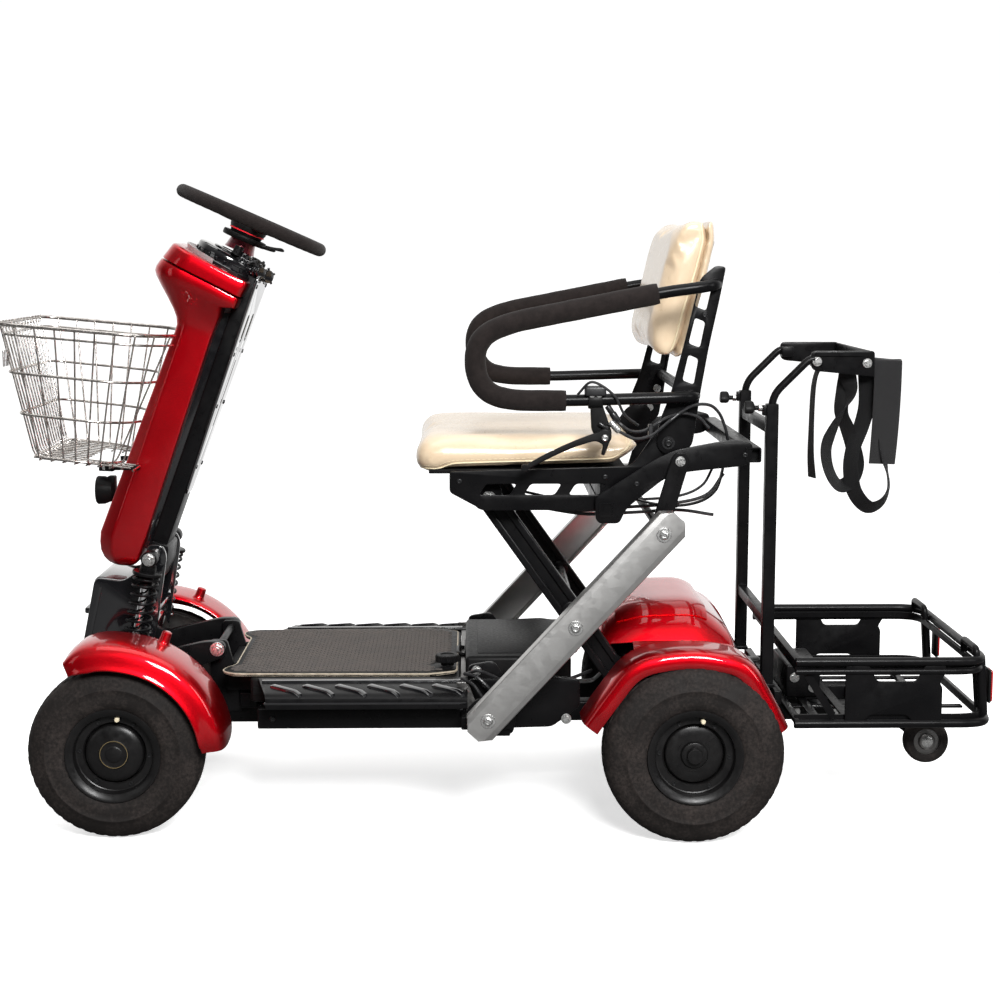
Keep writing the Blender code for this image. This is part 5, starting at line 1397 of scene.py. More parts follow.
# --- side steps: (|Y|, z) section, cut back on a slant at the front
STEP_SECTION = table("""169 225, 200 222.3, 236 219, 244 216.6, 248.6 213, 250 208, 250 198.6,
    248.4 197, 246.4 198.4, 246 207, 243 212, 234 214.6, 169 220.6""")
STEP_STATIONS = [-313.4, -312] + [-308 + 3 * i for i in range(101)] + [-6.4, -5]
for side, sign in SIDES:
    kit = Kit()
    kit.loft([[(max(x, -316 + (y - 160) * (26 / 110)), sign * y, z) for y, z in STEP_SECTION]
              for x in STEP_STATIONS])
    # raised diagonal ribs: distance back from the rib's start, |Y|, z
    for i in range(6):
        kit.sweep([(-290 + 47 * i + back, sign * y, z) for back, y, z in table(
            "0 209 221.6, 4 212 222.4, 36 236 219.6, 43 243 216.2, 45 245 213.6")],
            table("2.2 -4.2, 3 -2.4, 3 2.4, 2.2 4.2, -1.6 5.8, -1.6 -5.8"),
            up=(0, sign * 0.25, 1), scale=[0.75, 1, 1, 1, 0.75], mat=1)
    kit.sweep([(-296, sign * 249.2, 206), (-8, sign * 249.2, 206)], 2, ends='round', mat=1)
    kit.sweep([(-306, sign * 187, 224.6), (-14, sign * 187, 224.6)],
              table("1.2 -4, 1.6 -2, 1.6 2, 1.2 4, -1.6 5, -1.6 -5"), up=Z_AXIS, mat=1)
    kit.make("side_step_pressing_" + side, [FRAME, GLOSS, ZINC], "chassis", "frame_black",
             "side_step_" + side, sharp=30)

# --- grey end straps and black hangers behind the steps
kit = Kit()
kit.plate(soften(table("-22 228, -4 228, 18 168, 0 168"), 3, 3), 211, 214, mat=1)
kit.screw('button', (-8, 214, 214), Y_AXIS, 4.6, 2.6, mat=2)
kit.plate(soften(table("-4 246, 34 252, 52 226, 46 196, 10 192, -6 214"), 8, 4), 176, 184,
          bevel=1.2)
kit.screw('hex', (8, 184, 238), Y_AXIS, 5.4, 3.2, 7.6, mat=2)
kit.rod((36, 183, 214), (36, 188, 214), 9, 1.2)
kit.mirror()
kit.box(-15.4, -1.6, -165, 165, 217.5, 224.2, 1, 2, 1)
kit.make("step_hangers", [FRAME, GREY, ZINC], "chassis", "frame_black")

kit = Kit()
kit.boxes("""-8 150 -140 140 189 249 6 4, 10 134 -118 118 247.6 250 1.2,
    -10 -7.4 -40 40 214 236 1 2 1""")
kit.sweep(spline("-10 -26 226, -19 -22 228, -20 0 229, -19 22 228, -10 26 226", 6), 3, mat=1)
kit.make("battery_case", [PLASTIC, FRAME], "chassis", "black_plastic", "battery_pack")

# --- drive unit on the rear axle
axle_centre = (REAR_AXLE[0], 0, REAR_AXLE[1])
kit = Kit()
kit.turn("""0 -186, 17 -186, 17 -60, 30 -58, 38 -54, 40 -50, 40 50, 38 54, 30 58, 17 60,
    17 186, 0 186""", axle_centre, Y_AXIS, steps=48)
for i in range(9):
    low = -44 + i * 11
    kit.turn([(40, low), (41.4, low + 1), (41.4, low + 3), (40, low + 4)], axle_centre, Y_AXIS,
             steps=48, close=True)
kit.rod((REAR_AXLE[0], -222, REAR_AXLE[1]), (REAR_AXLE[0], 222, REAR_AXLE[1]), 9)
kit.boxes("300 341 -40 40 150 172 2, 345 450 -38 38 108 166 8 4")
for i in range(8):
    kit.box(352 + i * 12, 356 + i * 12, -39.2, 39.2, 114, 160, 1, 1)
kit.make("drive_unit_case", [PLASTIC], "chassis", "black_plastic", "drive_unit")


# --- rear luggage frame
def rack_hoop(z, rear, half=200):
    """U-shaped rail that is open to the front."""
    right = [(476, half, z), (rear - 30, half, z), (rear - 9, half - 9, z), (rear, half - 30, z)]
    return soften([(x, -y, z) for x, y, z in right] + right[::-1],
                  [0, 16, 10, 16, 16, 10, 16, 0], 6, closed=False)


kit = Kit()
for z, rear, radius in ((253, 757, 7), (238.5, 755, 5.6), (160, 766, 7)):
    kit.sweep(rack_hoop(z, rear), oval(radius * 0.95, 18), up=Z_AXIS, ends='bev')
for z, rear in ((243, 749), (168, 758)):
    kit.sweep(rack_hoop(z, rear, 194), table("""-5 -1.6, -4.4 -2.2, 4.4 -2.2, 5 -1.6, 5 1.6,
        4.4 2.2, -4.4 2.2, -5 1.6"""), up=Z_AXIS)
for sign in (-1, 1):
    kit.rod((764, sign * 165, 158), (757, sign * 165, 254), 7, 1)
    kit.plate(rounded("""549 158 3, 572 158 5, 586 174 5, 640 174 5, 654 158 5, 692 158 4,
        692 214 3, 688 222 3, 696 236 3, 696 248 4, 666 248 4, 653 224 5, 596 224 5, 583 248 5,
        549 248 4""", 4), sign * 199, sign * 203, bevel=0.9)
    # diagonal brace and rear upright
    kit.sweep([(486, sign * 196, 246), (532, sign * 196, 172)],
              table("-1.6 -5.5, 1.6 -5.5, 1.6 5.5, -1.6 5.5"), up=Y_AXIS)
    kit.rod((760, sign * 150, 168), (753, sign * 150, 246), 5, 0.8)
# front rails, cross flats, fore-and-aft flats and the dark box in front
kit.boxes("""474.5 486 -200 200 240 256 1.6, 474.5 486 -200 200 160.5 168 1.4,
    505 519 -198 198 159.5 163.6 1, 553 567 -198 198 159.5 163.6 1,
    617 631 -198 198 159.5 163.6 1, 687 701 -198 198 159.5 163.6 1,
    486 752 -99 -85 156.6 160.2 1, 486 752 85 99 156.6 160.2 1,
    487 540 -60 60 164 216 3 3""")
for x, z in ((500, 196), (529, 180)):
    kit.screw('hex', (x, -60, z), (0, -1, 0), 5.4, 3.2, 7.6)
# ring held above the floor
kit.turn("40 168, 47 168, 48 169, 48 177, 47 178, 45.6 178, 45 170.6, 40 170.2", (652, 118, 0),
         Z_AXIS, steps=56, close=True)
kit.boxes("605 611 112 124 162 172, 693 699 112 124 162 172")
# raised loops on the rear rail
for sign in (-1, 1):
    kit.sweep(soften([(746, sign * 188, 250), (744, sign * 186, 269), (744, sign * 118, 269),
                      (746, sign * 116, 250)], [0, 8, 8, 0], 5, closed=False), 5.2)
kit.make("rear_rack", [FRAME, ZINC], "chassis", "frame_black", "rear_carrier")

for side, sign in SIDES:
    low, high = sign * 152 - 14, sign * 152 + 14
    kit = Kit()
    kit.box(770.5, 774.6, low - 1, high + 1, 181.2, 231.8, 1.6, 2, 1)
    kit.plate(soften([(low, 182), (high, 182), (high, 231), (low, 231)], 7, 5), 774.2, 777.2,
              plane='yz', bevel=1.2, steps=2)
    for i in range(7):
        kit.box(776.8, 777.5, low + 3, high - 3, 187 + i * 6, 189.6 + i * 6, 0.3, 1)
    kit.make("tail_lens_" + side, [LENS, PLASTIC], "chassis", "red_lens", "tail_light_" + side)

# --- luggage mast
MAST_X, MAST_Y = 444.5, 130
post_outer = soften(table("-9 -9, 9 -9, 9 9, -9 9"), 2, 3)
post_inner = soften(table("-6.6 -6.6, 6.6 -6.6, 6.6 6.6, -6.6 6.6"), 1.2, 3)
post_lip = [(a * 0.97, b * 0.97) for a, b in post_outer]
kit = Kit()
for sign in (-1, 1):
    # open square tube that takes the upper tube
    kit.loft([[(MAST_X + a, sign * MAST_Y + b, z) for a, b in section] for z, section in (
        (200.5, post_outer), (622, post_outer), (626, post_lip), (626, post_inner),
        (480, post_inner))])
    kit.boxes("430.5 437 123.5 136.5 609 624 1.2, 434 455 116 144 200.5 206 1.2", sign)
for z in (300, 590):
    kit.box(437.5, 451.5, -128, 128, z - 8, z + 8, 1.6, 3)
    for sign in (-1, 1):
        # weld bead: x, |Y|, rise
        kit.sweep([(x, sign * y, z + rise) for x, y, rise in table("""444.5 120.2 -8.2,
            451.5 120.6 -8.2, 451.9 120.6 0, 451.5 120.6 8.2, 437.5 120.6 8.2""")], 1.3)
kit.make("mast_square_posts", [FRAME, ZINC], "chassis", "frame_black", "mast_posts")


def three_lobes(row, angle, radius, height):
    return (radius * (1 + 0.1 * cos(3 * angle)) if radius > 7 else radius), height


for side, sign in SIDES:
    y, z = sign * MAST_Y, 617 - sign * 3
    kit = Kit()
    kit.turn("""0 404, 7.5 404, 9 405.2, 9.4 408, 9.4 414, 8.4 416.6, 5.4 418.4, 3.6 419,
        3.5 435, 0 435""", (0, y, z), (1, 0, 0), steps=36, shape=three_lobes)
    kit.rod((424, y, z), (430, y, z), 5.2, 0.8, mat=1)
    kit.make("clamp_handle_" + side, [PLASTIC, ZINC], "mast_clamp_" + side, "black_plastic",
             "clamp_knob_" + side, sharp=36)

kit = Kit()
for sign in (-1, 1):
    y = sign * MAST_Y
    kit.sweep(soften([(MAST_X, y, 540), (MAST_X, y, 638), (497, y, 690.5), (506, y, 692)],
                     [0, 18, 10, 0], 7, closed=False), 5.8, ends='bev')
    # side of the U-shaped holder, with bolts and spacer
    kit.plate(rounded("500 675 11, 594 666 4, 594 704 6, 500 704 8", 5), y, sign * 134,
              bevel=0.8)
    for x, z in ((509, 688.5), (583, 686)):
        kit.screw('hex', (x, sign * 134, z), (0, sign, 0), 4.6, 3, 7)
    kit.boxes("501 520 117 131 681 697 1.2", sign)
kit.boxes("589 593 -133 133 668 703 0.9, 506 586 -136.4 -134.6 696 702 0.6 1")
for y in (-96, -60, 0, 60, 96):
    kit.screw('button', (593, y, 690), (1, 0, 0), 4.2, 2.4)
kit.make("mast_slider_tubes", [FRAME, ZINC], "mast_slider", "frame_black", "mast_upper")


# --- straps
def ribbon(name, path, width_dirs, width, thick, material, stands=(), cols=8, cup=0.0):
    """Flat webbing with a width direction at each point and UVs along and across, in metres."""
    path = [Vector(p) for p in path]
    count = len(path)
    mesh = bpy.data.meshes.new(name)
    bm = bmesh.new()
    uv_layer = bm.loops.layers.uv.new("UVMap")
    lengths = [0.0]
    for start, end in zip(path[:-1], path[1:]):
        lengths.append(lengths[-1] + (end - start).length * MM)
    shares = [j / cols - 0.5 for j in range(cols + 1)]
    across = [share * width * MM for share in shares]
    upper, lower = [], []
    for i in range(count):
        along = tangent(path, i)
        side = square_to(Vector(width_dirs[i]).normalized(), along)
        normal = along.cross(side)
        for layer in (upper, lower):
            layer.append([])
        for share in shares:
            bend = cup * (0.25 - share * share) * sin(i * 0.55)
            middle = path[i] + side * (share * width) + normal * bend
            half = thick * (0.5 if abs(share) < 0.46 else 0.36)
            upper[-1].append(middle + normal * half)
            lower[-1].append(middle - normal * half)
    top, under = [[[bm.verts.new(metres(p)) for p in row] for row in layer]
                  for layer in (upper, lower)]

    def face(verts, uvs):
        for corner, uv in zip(bm.faces.new(verts).loops, uvs):
            corner[uv_layer].uv = uv
    for i in range(count - 1):
        start, end = lengths[i], lengths[i + 1]
        for j in range(cols):
            uvs = [(start, across[j]), (end, across[j]), (end, across[j + 1]),
                   (start, across[j + 1])]
            face([top[i][j], top[i + 1][j], top[i + 1][j + 1], top[i][j + 1]], uvs)
            face([under[i][j], under[i][j + 1], under[i + 1][j + 1], under[i + 1][j]],
                 [uvs[0], uvs[3], uvs[2], uvs[1]])
        for j in (0, cols):
            a, b = (top, under) if j else (under, top)
            face([a[i][j], a[i + 1][j], b[i + 1][j], b[i][j]],
                 [(start, across[j]), (end, across[j]), (end, across[j]), (start, across[j])])
    for i in (0, count - 1):
        a, b = (under, top) if i else (top, under)
        for j in range(cols):
            face([a[i][j], a[i][j + 1], b[i][j + 1], b[i][j]], [(lengths[i], across[j])] * 4)
    bmesh.ops.recalc_face_normals(bm, faces=bm.faces)
    bm.to_mesh(mesh)
    bm.free()
    mesh.materials.append(material)
    mesh.shade_smooth()
    mesh.set_sharp_from_angle(angle=radians(50))
    ob = bpy.data.objects.new(name, mesh)
    bpy.context.scene.collection.objects.link(ob)
    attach(ob, "mast_slider")
    if stands:
        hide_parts(*stands)


def strap(name, points, turns, stands=()):
    """Webbing whose width swings from straight across (0) to its curve's plane (90 degrees)."""
    path = [Vector(p) for p in spline(points, 9)]
    dirs = []
    for i in range(len(path)):
        angle = radians(between(turns, i / (len(path) - 1)))
        square = Vector(Y_AXIS).cross(tangent(path, i)).normalized()
        dirs.append(Vector(Y_AXIS) * cos(angle) + square * sin(angle))
    ribbon(name, path, dirs, 25, 1.8, WEBBING, stands)


# hangs down from the holder
strap("strap_hanging", """528 -120 676, 519 -121 681, 511.5 -121 672, 507.3 -121 653,
    505.8 -120 624, 505.4 -119 582, 505.8 -118 548, 508.6 -117 515""",
      [14, 3, 2, 4, 5, 9, 15], ["bag_straps"])
# front loop: out of the holder, down, round and back up behind itself
strap("strap_left_loop", """556 -112 694, 559 -113 667, 564 -114 644, 557 -114 620,
    541 -114 592, 529.5 -114 560, 534 -113 527, 549 -112 503, 566 -110 507, 576 -107 530,
    572 -105 558, 562 -103 588, 553 -101 612, 556 -99 644, 560 -98 668, 561 -98 690""",
      [78, 62, 20, -28, -52, -46, -40, -52, -60, -50, -40, -44, -50, -60])
# rear loop: down from the holder, round the bottom and up under the flap
strap("strap_right_loop", """586 -106 694, 588 -107 667, 589 -109 623, 581 -112 590,
    569.5 -116 560, 565.5 -118 530, 571 -119 497, 585 -120 476, 599 -121 470.5,
    614.5 -121 480, 622.5 -121 500, 619.5 -121 526, 614 -121 548, 613 -121 580""",
      [70, 66, 58, 48, 44, 50, 56, 54, 40, 22, 16, 30, 56])
# wide flap behind the holder's rear bar
flap = spline("""612 -110 676, 613 -114 686, 614 -120 690.5, 615 -126 689.5, 615 -129 683,
    615 -128.5 645, 614 -127.5 603, 612.2 -126.5 565, 610.4 -125.5 536""")
flap_dirs = [Vector(row) for row in table("""1 0 -0.06, 1 0 -0.07, 1 0 -0.07, 1 0 -0.03,
    1 0.05 0, 1 0.1 0.02, 1 0.14 0.10, 1 0.16 0.75""")]
ribbon("strap_loop_tape", flap,
       [between(flap_dirs, i / (len(flap) - 1)) for i in range(len(flap))],
       width=41, thick=2.6, material=LOOP_TAPE, cols=12, cup=1.6)
kit = Kit()
kit.box(601, 622, -123.6, -121.8, 548, 556, 0.8, 1)
kit.make("strap_slider", [PLASTIC], "mast_slider", "webbing")

# --- scissor lift, inner arms: a recessed web between two rolled rails
inner_up = (Vector(INNER_TOP) - Vector(INNER_FOOT)).normalized()
inner_side = Vector((-inner_up.y, inner_up.x))
kit = Kit()
for sign in (-1, 1):
    inner, outer = sign * 165, sign * 185
    kit.plate(capsule(INNER_FOOT, INNER_TOP, 18), inner + sign * 4, outer - sign * 4,
              bevel=1.6, steps=2)
    for offset in (-12.4, 12.4):
        low = Vector(INNER_FOOT) + inner_up * 6 + inner_side * offset
        high = Vector(INNER_TOP) - inner_up * 6 + inner_side * offset
        half = inner_side * 5.5
        kit.plate([low + half, low - half, high - half, high + half], inner, outer,
                  bevel=2.6, steps=3)
    for x, z in (INNER_FOOT, INNER_TOP, SCISSOR_PIN):
        kit.rod((x, sign * 162.5, z), (x, sign * 187, z), 15, 1.6, steps=40)
    for x, z in (INNER_FOOT, INNER_TOP):
        kit.screw('nut', (x, sign * 187, z), (0, sign, 0), 7.6, 4.2, 11)
        kit.screw('hex', (x, sign * 163, z), (0, -sign, 0), 7.6, 4.2, 11)
for tie in (Vector(INNER_FOOT) + inner_up * 82, Vector(INNER_TOP) - inner_up * 62):
    kit.rod((tie.x, -176, tie.y), (tie.x, 176, tie.y), 8)
    for sign in (-1, 1):
        kit.turn("8 0, 10.4 0, 9.4 1.8, 8.2 3", (tie.x, sign * 165, tie.y), (0, -sign, 0),
                 steps=28, close=True)
kit.rod((SCISSOR_PIN[0], -274, SCISSOR_PIN[1]), (SCISSOR_PIN[0], 274, SCISSOR_PIN[1]), 9)
kit.make("inner_arm_bars", [FRAME, ZINC], "scissor_inner", "frame_black", "inner_arms")

# --- outer arms: a folded channel of (offset across the arm, |Y|), flanges turned in
outer_up = (Vector(OUTER_TOP) - Vector(OUTER_FOOT)).normalized()
outer_side = Vector((-outer_up.y, outer_up.x))
ARM_HALF_LENGTH, ARM_HALF_WIDTH, ARM_CHAMFER = 212, 24.5, 14
CHANNEL = table("""-24.5 276.4, -24.5 296.5, -24.1 298.2, -23 299.6, -16.6 301.6, -15.4 301.9,
    15.4 301.9, 16.6 301.6, 23 299.6, 24.1 298.2, 24.5 296.5, 24.5 276.4, 21.4 276.4,
    21.4 295.4, 20.4 296.9, 14.4 298.6, -14.4 298.6, -20.4 296.9, -21.4 295.4, -21.4 276.4""")
for side, sign in SIDES:
    kit = Kit()
    rings = []
    for station in (-212, -211.4, -205, -198, -150, -75, 0, 75, 150, 198, 205, 211.4, 212):
        from_end = ARM_HALF_LENGTH - abs(station)
        limit = ARM_HALF_WIDTH - max(0, ARM_CHAMFER - from_end)
        ring = []
        for offset, y in CHANNEL:
            offset = max(-limit, min(limit, offset))
            place = Vector(SCISSOR_PIN) + outer_up * station + outer_side * offset
            ring.append((place.x, sign * (y - (0.5 if from_end < 0.3 else 0)), place.y))
        rings.append(ring)
    kit.loft(rings)
    for x, z in (OUTER_FOOT, SCISSOR_PIN, OUTER_TOP):
        kit.turn("0 0, 10.4 0, 10.4 1, 9.8 1.6, 8 1.8, 0 1.8", (x, sign * 301.8, z),
                 (0, sign, 0), steps=36, mat=1)
        kit.screw('button', (x, sign * 303.4, z), (0, sign, 0), 6.8, 3.4)
        kit.rod((x, sign * 276.5, z), (x, sign * 299, z), 8.6, mat=1)
    kit.make("outer_arm_channel_" + side, [GALV, ZINC], "scissor_outer", "galvanised",
             "outer_arm_" + side, sharp=22)

# --- hangers at the foot of the lift, with cables on the left
kit = Kit()
kit.plate(soften(table("-6 196, -6 164, 60 160, 66 190, 44 214, 10 214"), 8, 4), 244, 252,
          bevel=1.4)
for x, z in ((14, 182), (46, 178), (30, 202)):
    kit.screw('hex', (x, 252, z), Y_AXIS, 5.2, 3.2, 7.5)
kit.mirror()
kit.sweep(spline("""-10 -210 240, 8 -222 238, 26 -226 222, 38 -216 204, 58 -200 210,
    90 -190 214, 140 -176 222, 180 -150 230"""), 2.6, mat=2)
kit.sweep(spline("""-14 -206 232, 4 -224 226, 20 -228 206, 44 -214 194, 80 -200 198,
    120 -190 200"""), 2.2, mat=2)
kit.sweep(spline("-8 -196 236, 10 -210 244, 30 -206 236, 52 -196 224, 70 -180 232"), 2.4, mat=2)
kit.make("lift_hangers", [FRAME, ZINC, CABLE], "chassis", "frame_black")


# --- seat frame
def hollow_bar(x0, x1, z0, z1, half=236.5, wall=2.2):
    """Open-ended rectangular tube across the seat."""
    outer = soften([(x0, z0), (x1, z0), (x1, z1), (x0, z1)], 3, 3)
    inner = soften([(x0 + wall, z0 + wall), (x1 - wall, z0 + wall), (x1 - wall, z1 - wall),
                    (x0 + wall, z1 - wall)], 2, 3)
    kit.loft([[(x, y, z) for x, z in section] for y, section in (
        (14 - half, inner), (-half, inner), (-half, outer), (half, outer), (half, inner),
        (half - 14, inner))])


kit = Kit()
slots = [soften([(x, 504), (x + 44, 504), (x + 54, 520), (x + 10, 520)], 5, 4)
         for x in (12, 76, 140)]
kit.plate(rounded("""-30 538 5, -30 508 5, 18 482 8, 188 482 10, 205 500 10, 286 545 8,
    303 572 10, 300 592 10, 281 598 8, 262 592 10, 235 553 8, 225 545 8""", 4), 221, 225,
          holes=slots, bevel=0.8)
# turned flange along the top and bottom of the rail
kit.boxes("-28 222 208 221.6 534.6 538, 22 186 206 221.6 482 485.2")
kit.plate(rounded("""177 502 6, 178 470 6, 184 464 4, 212 464 6, 222 486 10, 275 528 10,
    300 537 14, 335 541 10, 386 546 6, 397 551 6, 402 578 8, 375 585 10, 330 577 10,
    290 569 10, 262 556 10""", 4), 231, 235, bevel=0.9)
kit.plate(soften(table("-14 528, -14 502, 14 478, 42 480, 46 508, 30 528"), 6, 4), 191, 197,
          bevel=1)
for x, y, z, radius in ((281, 225, 579, 5.2), (LINK_TOP[0], 235, LINK_TOP[1], 5.4)):
    kit.screw('hex', (x, y, z), Y_AXIS, radius, 3.6, radius * 1.4)
for place in ((-16, 225, 524), (192, 225, 530), (236, 235, 521), (390, 235, 562)):
    kit.screw('button', place, Y_AXIS, 4, 1.8, mat=3)
kit.screw('nut', (INNER_TOP[0], 197, INNER_TOP[1]), Y_AXIS, 7.4, 4.4, 11)
kit.mirror()
hollow_bar(183, 204, 473, 494)
hollow_bar(391, 413, 551.5, 573)
# cross bars, the middle rail, then the pan under the cushion and its ribs
kit.boxes("""-26 -8 -223 223 506 526 1.6 3, 18 40 -223 223 519 531 1.6 3,
    -24 198 -8 8 509 523 1.4, 185 199 -222 222 490.5 522 1.6 3,
    -60 226 -200 200 532 538.4 1.4 2 2""")
for y in (-160, -80, 0, 80, 160):
    kit.sweep([(-50, y, 531), (216, y, 531)], table("0.8 -3, 0.8 3, -0.8 4, -0.8 -4"),
              up=(0, 0, -1), mat=2)
kit.make("seat_frame_plates", [FRAME, ZINC, PLASTIC, BOLT], "seat", "frame_black", "seat_frame")

# --- flat hoop strips under the back of the seat, and cables on the left
kit = Kit()
for sign in (-1, 1):
    kit.sweep(spline([(x, sign * 214, z) for x, z in table("""226 500, 262 490, 300 487,
        332 494, 352 510, 360 534, 362 548""")]), table("1.2 -6, 1.2 6, -1.2 6, -1.2 -6"))
for radius, points in (
        (2.4, """352 -190 470, 300 -196 478, 240 -190 474, 170 -180 470, 110 -176 478,
            70 -170 486"""),
        (2.4, """70 -170 489, 140 -182 476, 220 -196 482, 290 -200 488, 340 -198 500,
            366 -190 530"""),
        (2.0, """80 -160 500, 150 -176 488, 226 -190 492, 296 -192 497, 334 -190 512,
            352 -184 540""")):
    kit.sweep(spline(points), radius, mat=1)
kit.box(292, 299, -203, -190, 482, 499, 1, 1, 2)
kit.make("seat_hoop_and_cables", [FRAME, CABLE, PLASTIC], "seat", "frame_black")

kit = Kit()
for sign in (-1, 1):
    face_y = sign * 243.5
    kit.plate(capsule(LINK_TOP, OUTER_TOP, 13), sign * 238, face_y, bevel=1.2, steps=2)
    kit.screw('hex', (LINK_TOP[0], face_y, LINK_TOP[1]), (0, sign, 0), 5, 3.2, 7.2)
    kit.screw('button', (OUTER_TOP[0], face_y, OUTER_TOP[1]), (0, sign, 0), 5.4, 3.4, 8)
kit.rod((OUTER_TOP[0], -240, OUTER_TOP[1]), (OUTER_TOP[0], 240, OUTER_TOP[1]), 6, 0.5)
kit.make("rear_link_plates", [FRAME, ZINC], "seat_links", "frame_black", "rear_links")

# --- backrest plates and arm loops
kit = Kit()
slots = [soften([(300 + i * 8, 668 + i * 52), (316 + i * 8, 662 + i * 52),
                 (322 + i * 9, 698 + i * 52), (308 + i * 8.5, 704 + i * 52)], 4, 3)
         for i in range(3)]
kit.plate(rounded("""323 811 8, 345 829 6, 359 827 5, 352 788 10, 337 717 10, 325 647 10,
    319 600 10, 315 575 8, 300 563 8, 276 562 8, 264 575 8, 268 610 10, 283 647 10,
    301 717 10""", 4), 226.3, 230, holes=slots, bevel=0.8)
# turned rear flange of the plate
flange = soften(table("357 826, 351 788, 336 717, 324 647, 318 600"), 16, 5, closed=False)
kit.sweep([(x, 221.5, z) for x, z in flange], table("1.5 -5, 1.5 5, -1.5 5, -1.5 -5"),
          up=(0.97, 0, -0.22))
for x, z in ((343, 806), (330, 760)):
    kit.screw('button', (x, 230, z), Y_AXIS, 4, 1.8, mat=3)
kit.screw('hex', (312, 226.3, 622), (0, -1, 0), 4.6, 3, 6.6)
kit.screw('hex', (300, 226.3, 590), (0, -1, 0), 4.2, 2.8, 6)
kit.screw('button', (281, 230, 579), Y_AXIS, 6, 3.4, 9.5, mat=3)
kit.mirror()

# x, |Y|, z and corner cut: from the back's top, forward, round the front, back along the bottom
ARM_LOOP = table("""347 226 803 0, 340 244 802 10, 316 250 798 14, 276 250 793 30,
    60 250 751 22, 22 250 736 18, 6 250 712 20, 8 250 674 20, 26 250 650 18, 60 250 641.5 22,
    136 250 641 30, 284 250 645 16, 312 243 646 10, 318 226 646 0""")
for sign in (-1, 1):
    kit.sweep(soften([(x, sign * y, z) for x, y, z, cut in ARM_LOOP],
                     [row[-1] for row in ARM_LOOP], 6, closed=False), 8.3)
# cross tubes behind the back cushion
for x, z in ((347, 803), (318, 646)):
    kit.rod((x, -226, z), (x, 226, z), 8.3, 0.5)
# brake clamp and bracket on the left-hand lower tube
kit.rod((165, -250, 641.5), (185, -250, 641.8), 12, 1.4, mat=2)
for x in (170, 180):
    kit.rod((x, -262, 650), (x, -238, 650), 4.2, 0.8, mat=1)
kit.plate(soften(table("168 640, 184 640, 199 596, 196 582, 182 580, 170 600"), 5, 4),
          -256, -245, bevel=1.6, steps=2, mat=2)
kit.rod((188, -268, 590), (188, -243, 590), 5, 0.8, mat=1)
kit.make("backrest_plates", [FRAME, ZINC, PLASTIC, BOLT], "backrest", "frame_black",
         "backrest_frame")

# --- block, adjusters and brake cables that run to the rear
kit = Kit()
kit.box(160, 190, -264, -245, 648, 662, 3, 3)
kit.rod((192, -254, 634), (200, -254, 622), 4.4, 1, mat=1)
kit.rod((199, -254, 624), (207, -254, 612), 5.2, 1.2, mat=1)
kit.rod((180, -258, 610), (192, -258, 602), 3.6, 0.8, mat=1)
kit.rod((196, -258, 612), (209, -258, 598), 4.6, 1, mat=2)
for i in range(5):
    x, z = 197 + i * 2.2, 611 - i * 2.3
    kit.rod((x, -258, z), (x + 1, -258, z - 1), 5.2, 0.3, mat=2, steps=20)
kit.sweep(spline("""206 -254 612, 222 -256 600, 240 -256 598, 258 -252 606, 276 -246 616,
    300 -240 622, 322 -237 616, 338 -234 600"""), 2.3)
kit.sweep(spline("""209 -258 598, 232 -260 588, 256 -257 594, 280 -250 612, 310 -244 632,
    336 -238 634, 352 -233 622, 362 -228 600, 368 -220 578"""), 2.3)
kit.sweep(spline("150 -256 650, 170 -262 668, 200 -262 650, 216 -258 622, 236 -252 606"), 1.9)
kit.box(250, 256, -259, -246, 588, 608, 1, 1)
kit.make("brake_cables", [CABLE, BOLT, ZINC], "backrest", "black_plastic", sharp=36)

kit = Kit()
kit.plate(rounded("""197 599 4, 188 604 5, 178 598 8, 140 584 20, 96 563 20, 75 549.5 6,
    73 545 2, 78 543.5 4, 98 555 20, 142 576 20, 176 586 6, 186 580 4, 183 566 2, 188 565 2,
    194 582 5, 198 590 4""", 5), -265.5, -258, bevel=2.2, steps=3)
kit.turn("0 -4.2, 4.4 -4.2, 5.2 -3.4, 5.2 3.4, 4.4 4.2, 0 4.2", (76, -261.8, 547.4), Y_AXIS,
         steps=32)
kit.screw('button', (188, -266.5, 590), (0, -1, 0), 5.2, 2.8)
kit.make("brake_lever_blade", [PLASTIC, ZINC], "brake", "black_plastic", "brake_lever",
         sharp=36)

# foam sleeves over the front of the arm loops, a little uneven, ends turned in
for side, sign in SIDES:
    kit = Kit()
    y = sign * 250
    sleeve = [(262, y, 793 + (262 - 276) * (793 - 751) / 216)]
    sleeve += [(x, y, z) for x, _, z, cut in ARM_LOOP[4:10]] + [(134, y, 641)]
    path = densify(soften(sleeve, [0, 22, 18, 20, 20, 18, 22, 0], 8, closed=False), 6)
    sizes = [(0.955 if i in (0, len(path) - 1) else 1.0)
             * (1 + 0.012 * sin(i * 0.9) * sin(i * 0.23)) for i in range(len(path))]
    kit.sweep(path, oval(14.9, 32), scale=sizes)
    kit.make("foam_sleeve_" + side, [FOAM], "backrest", "foam_grip", "armrest_foam_" + side,
             sharp=50)

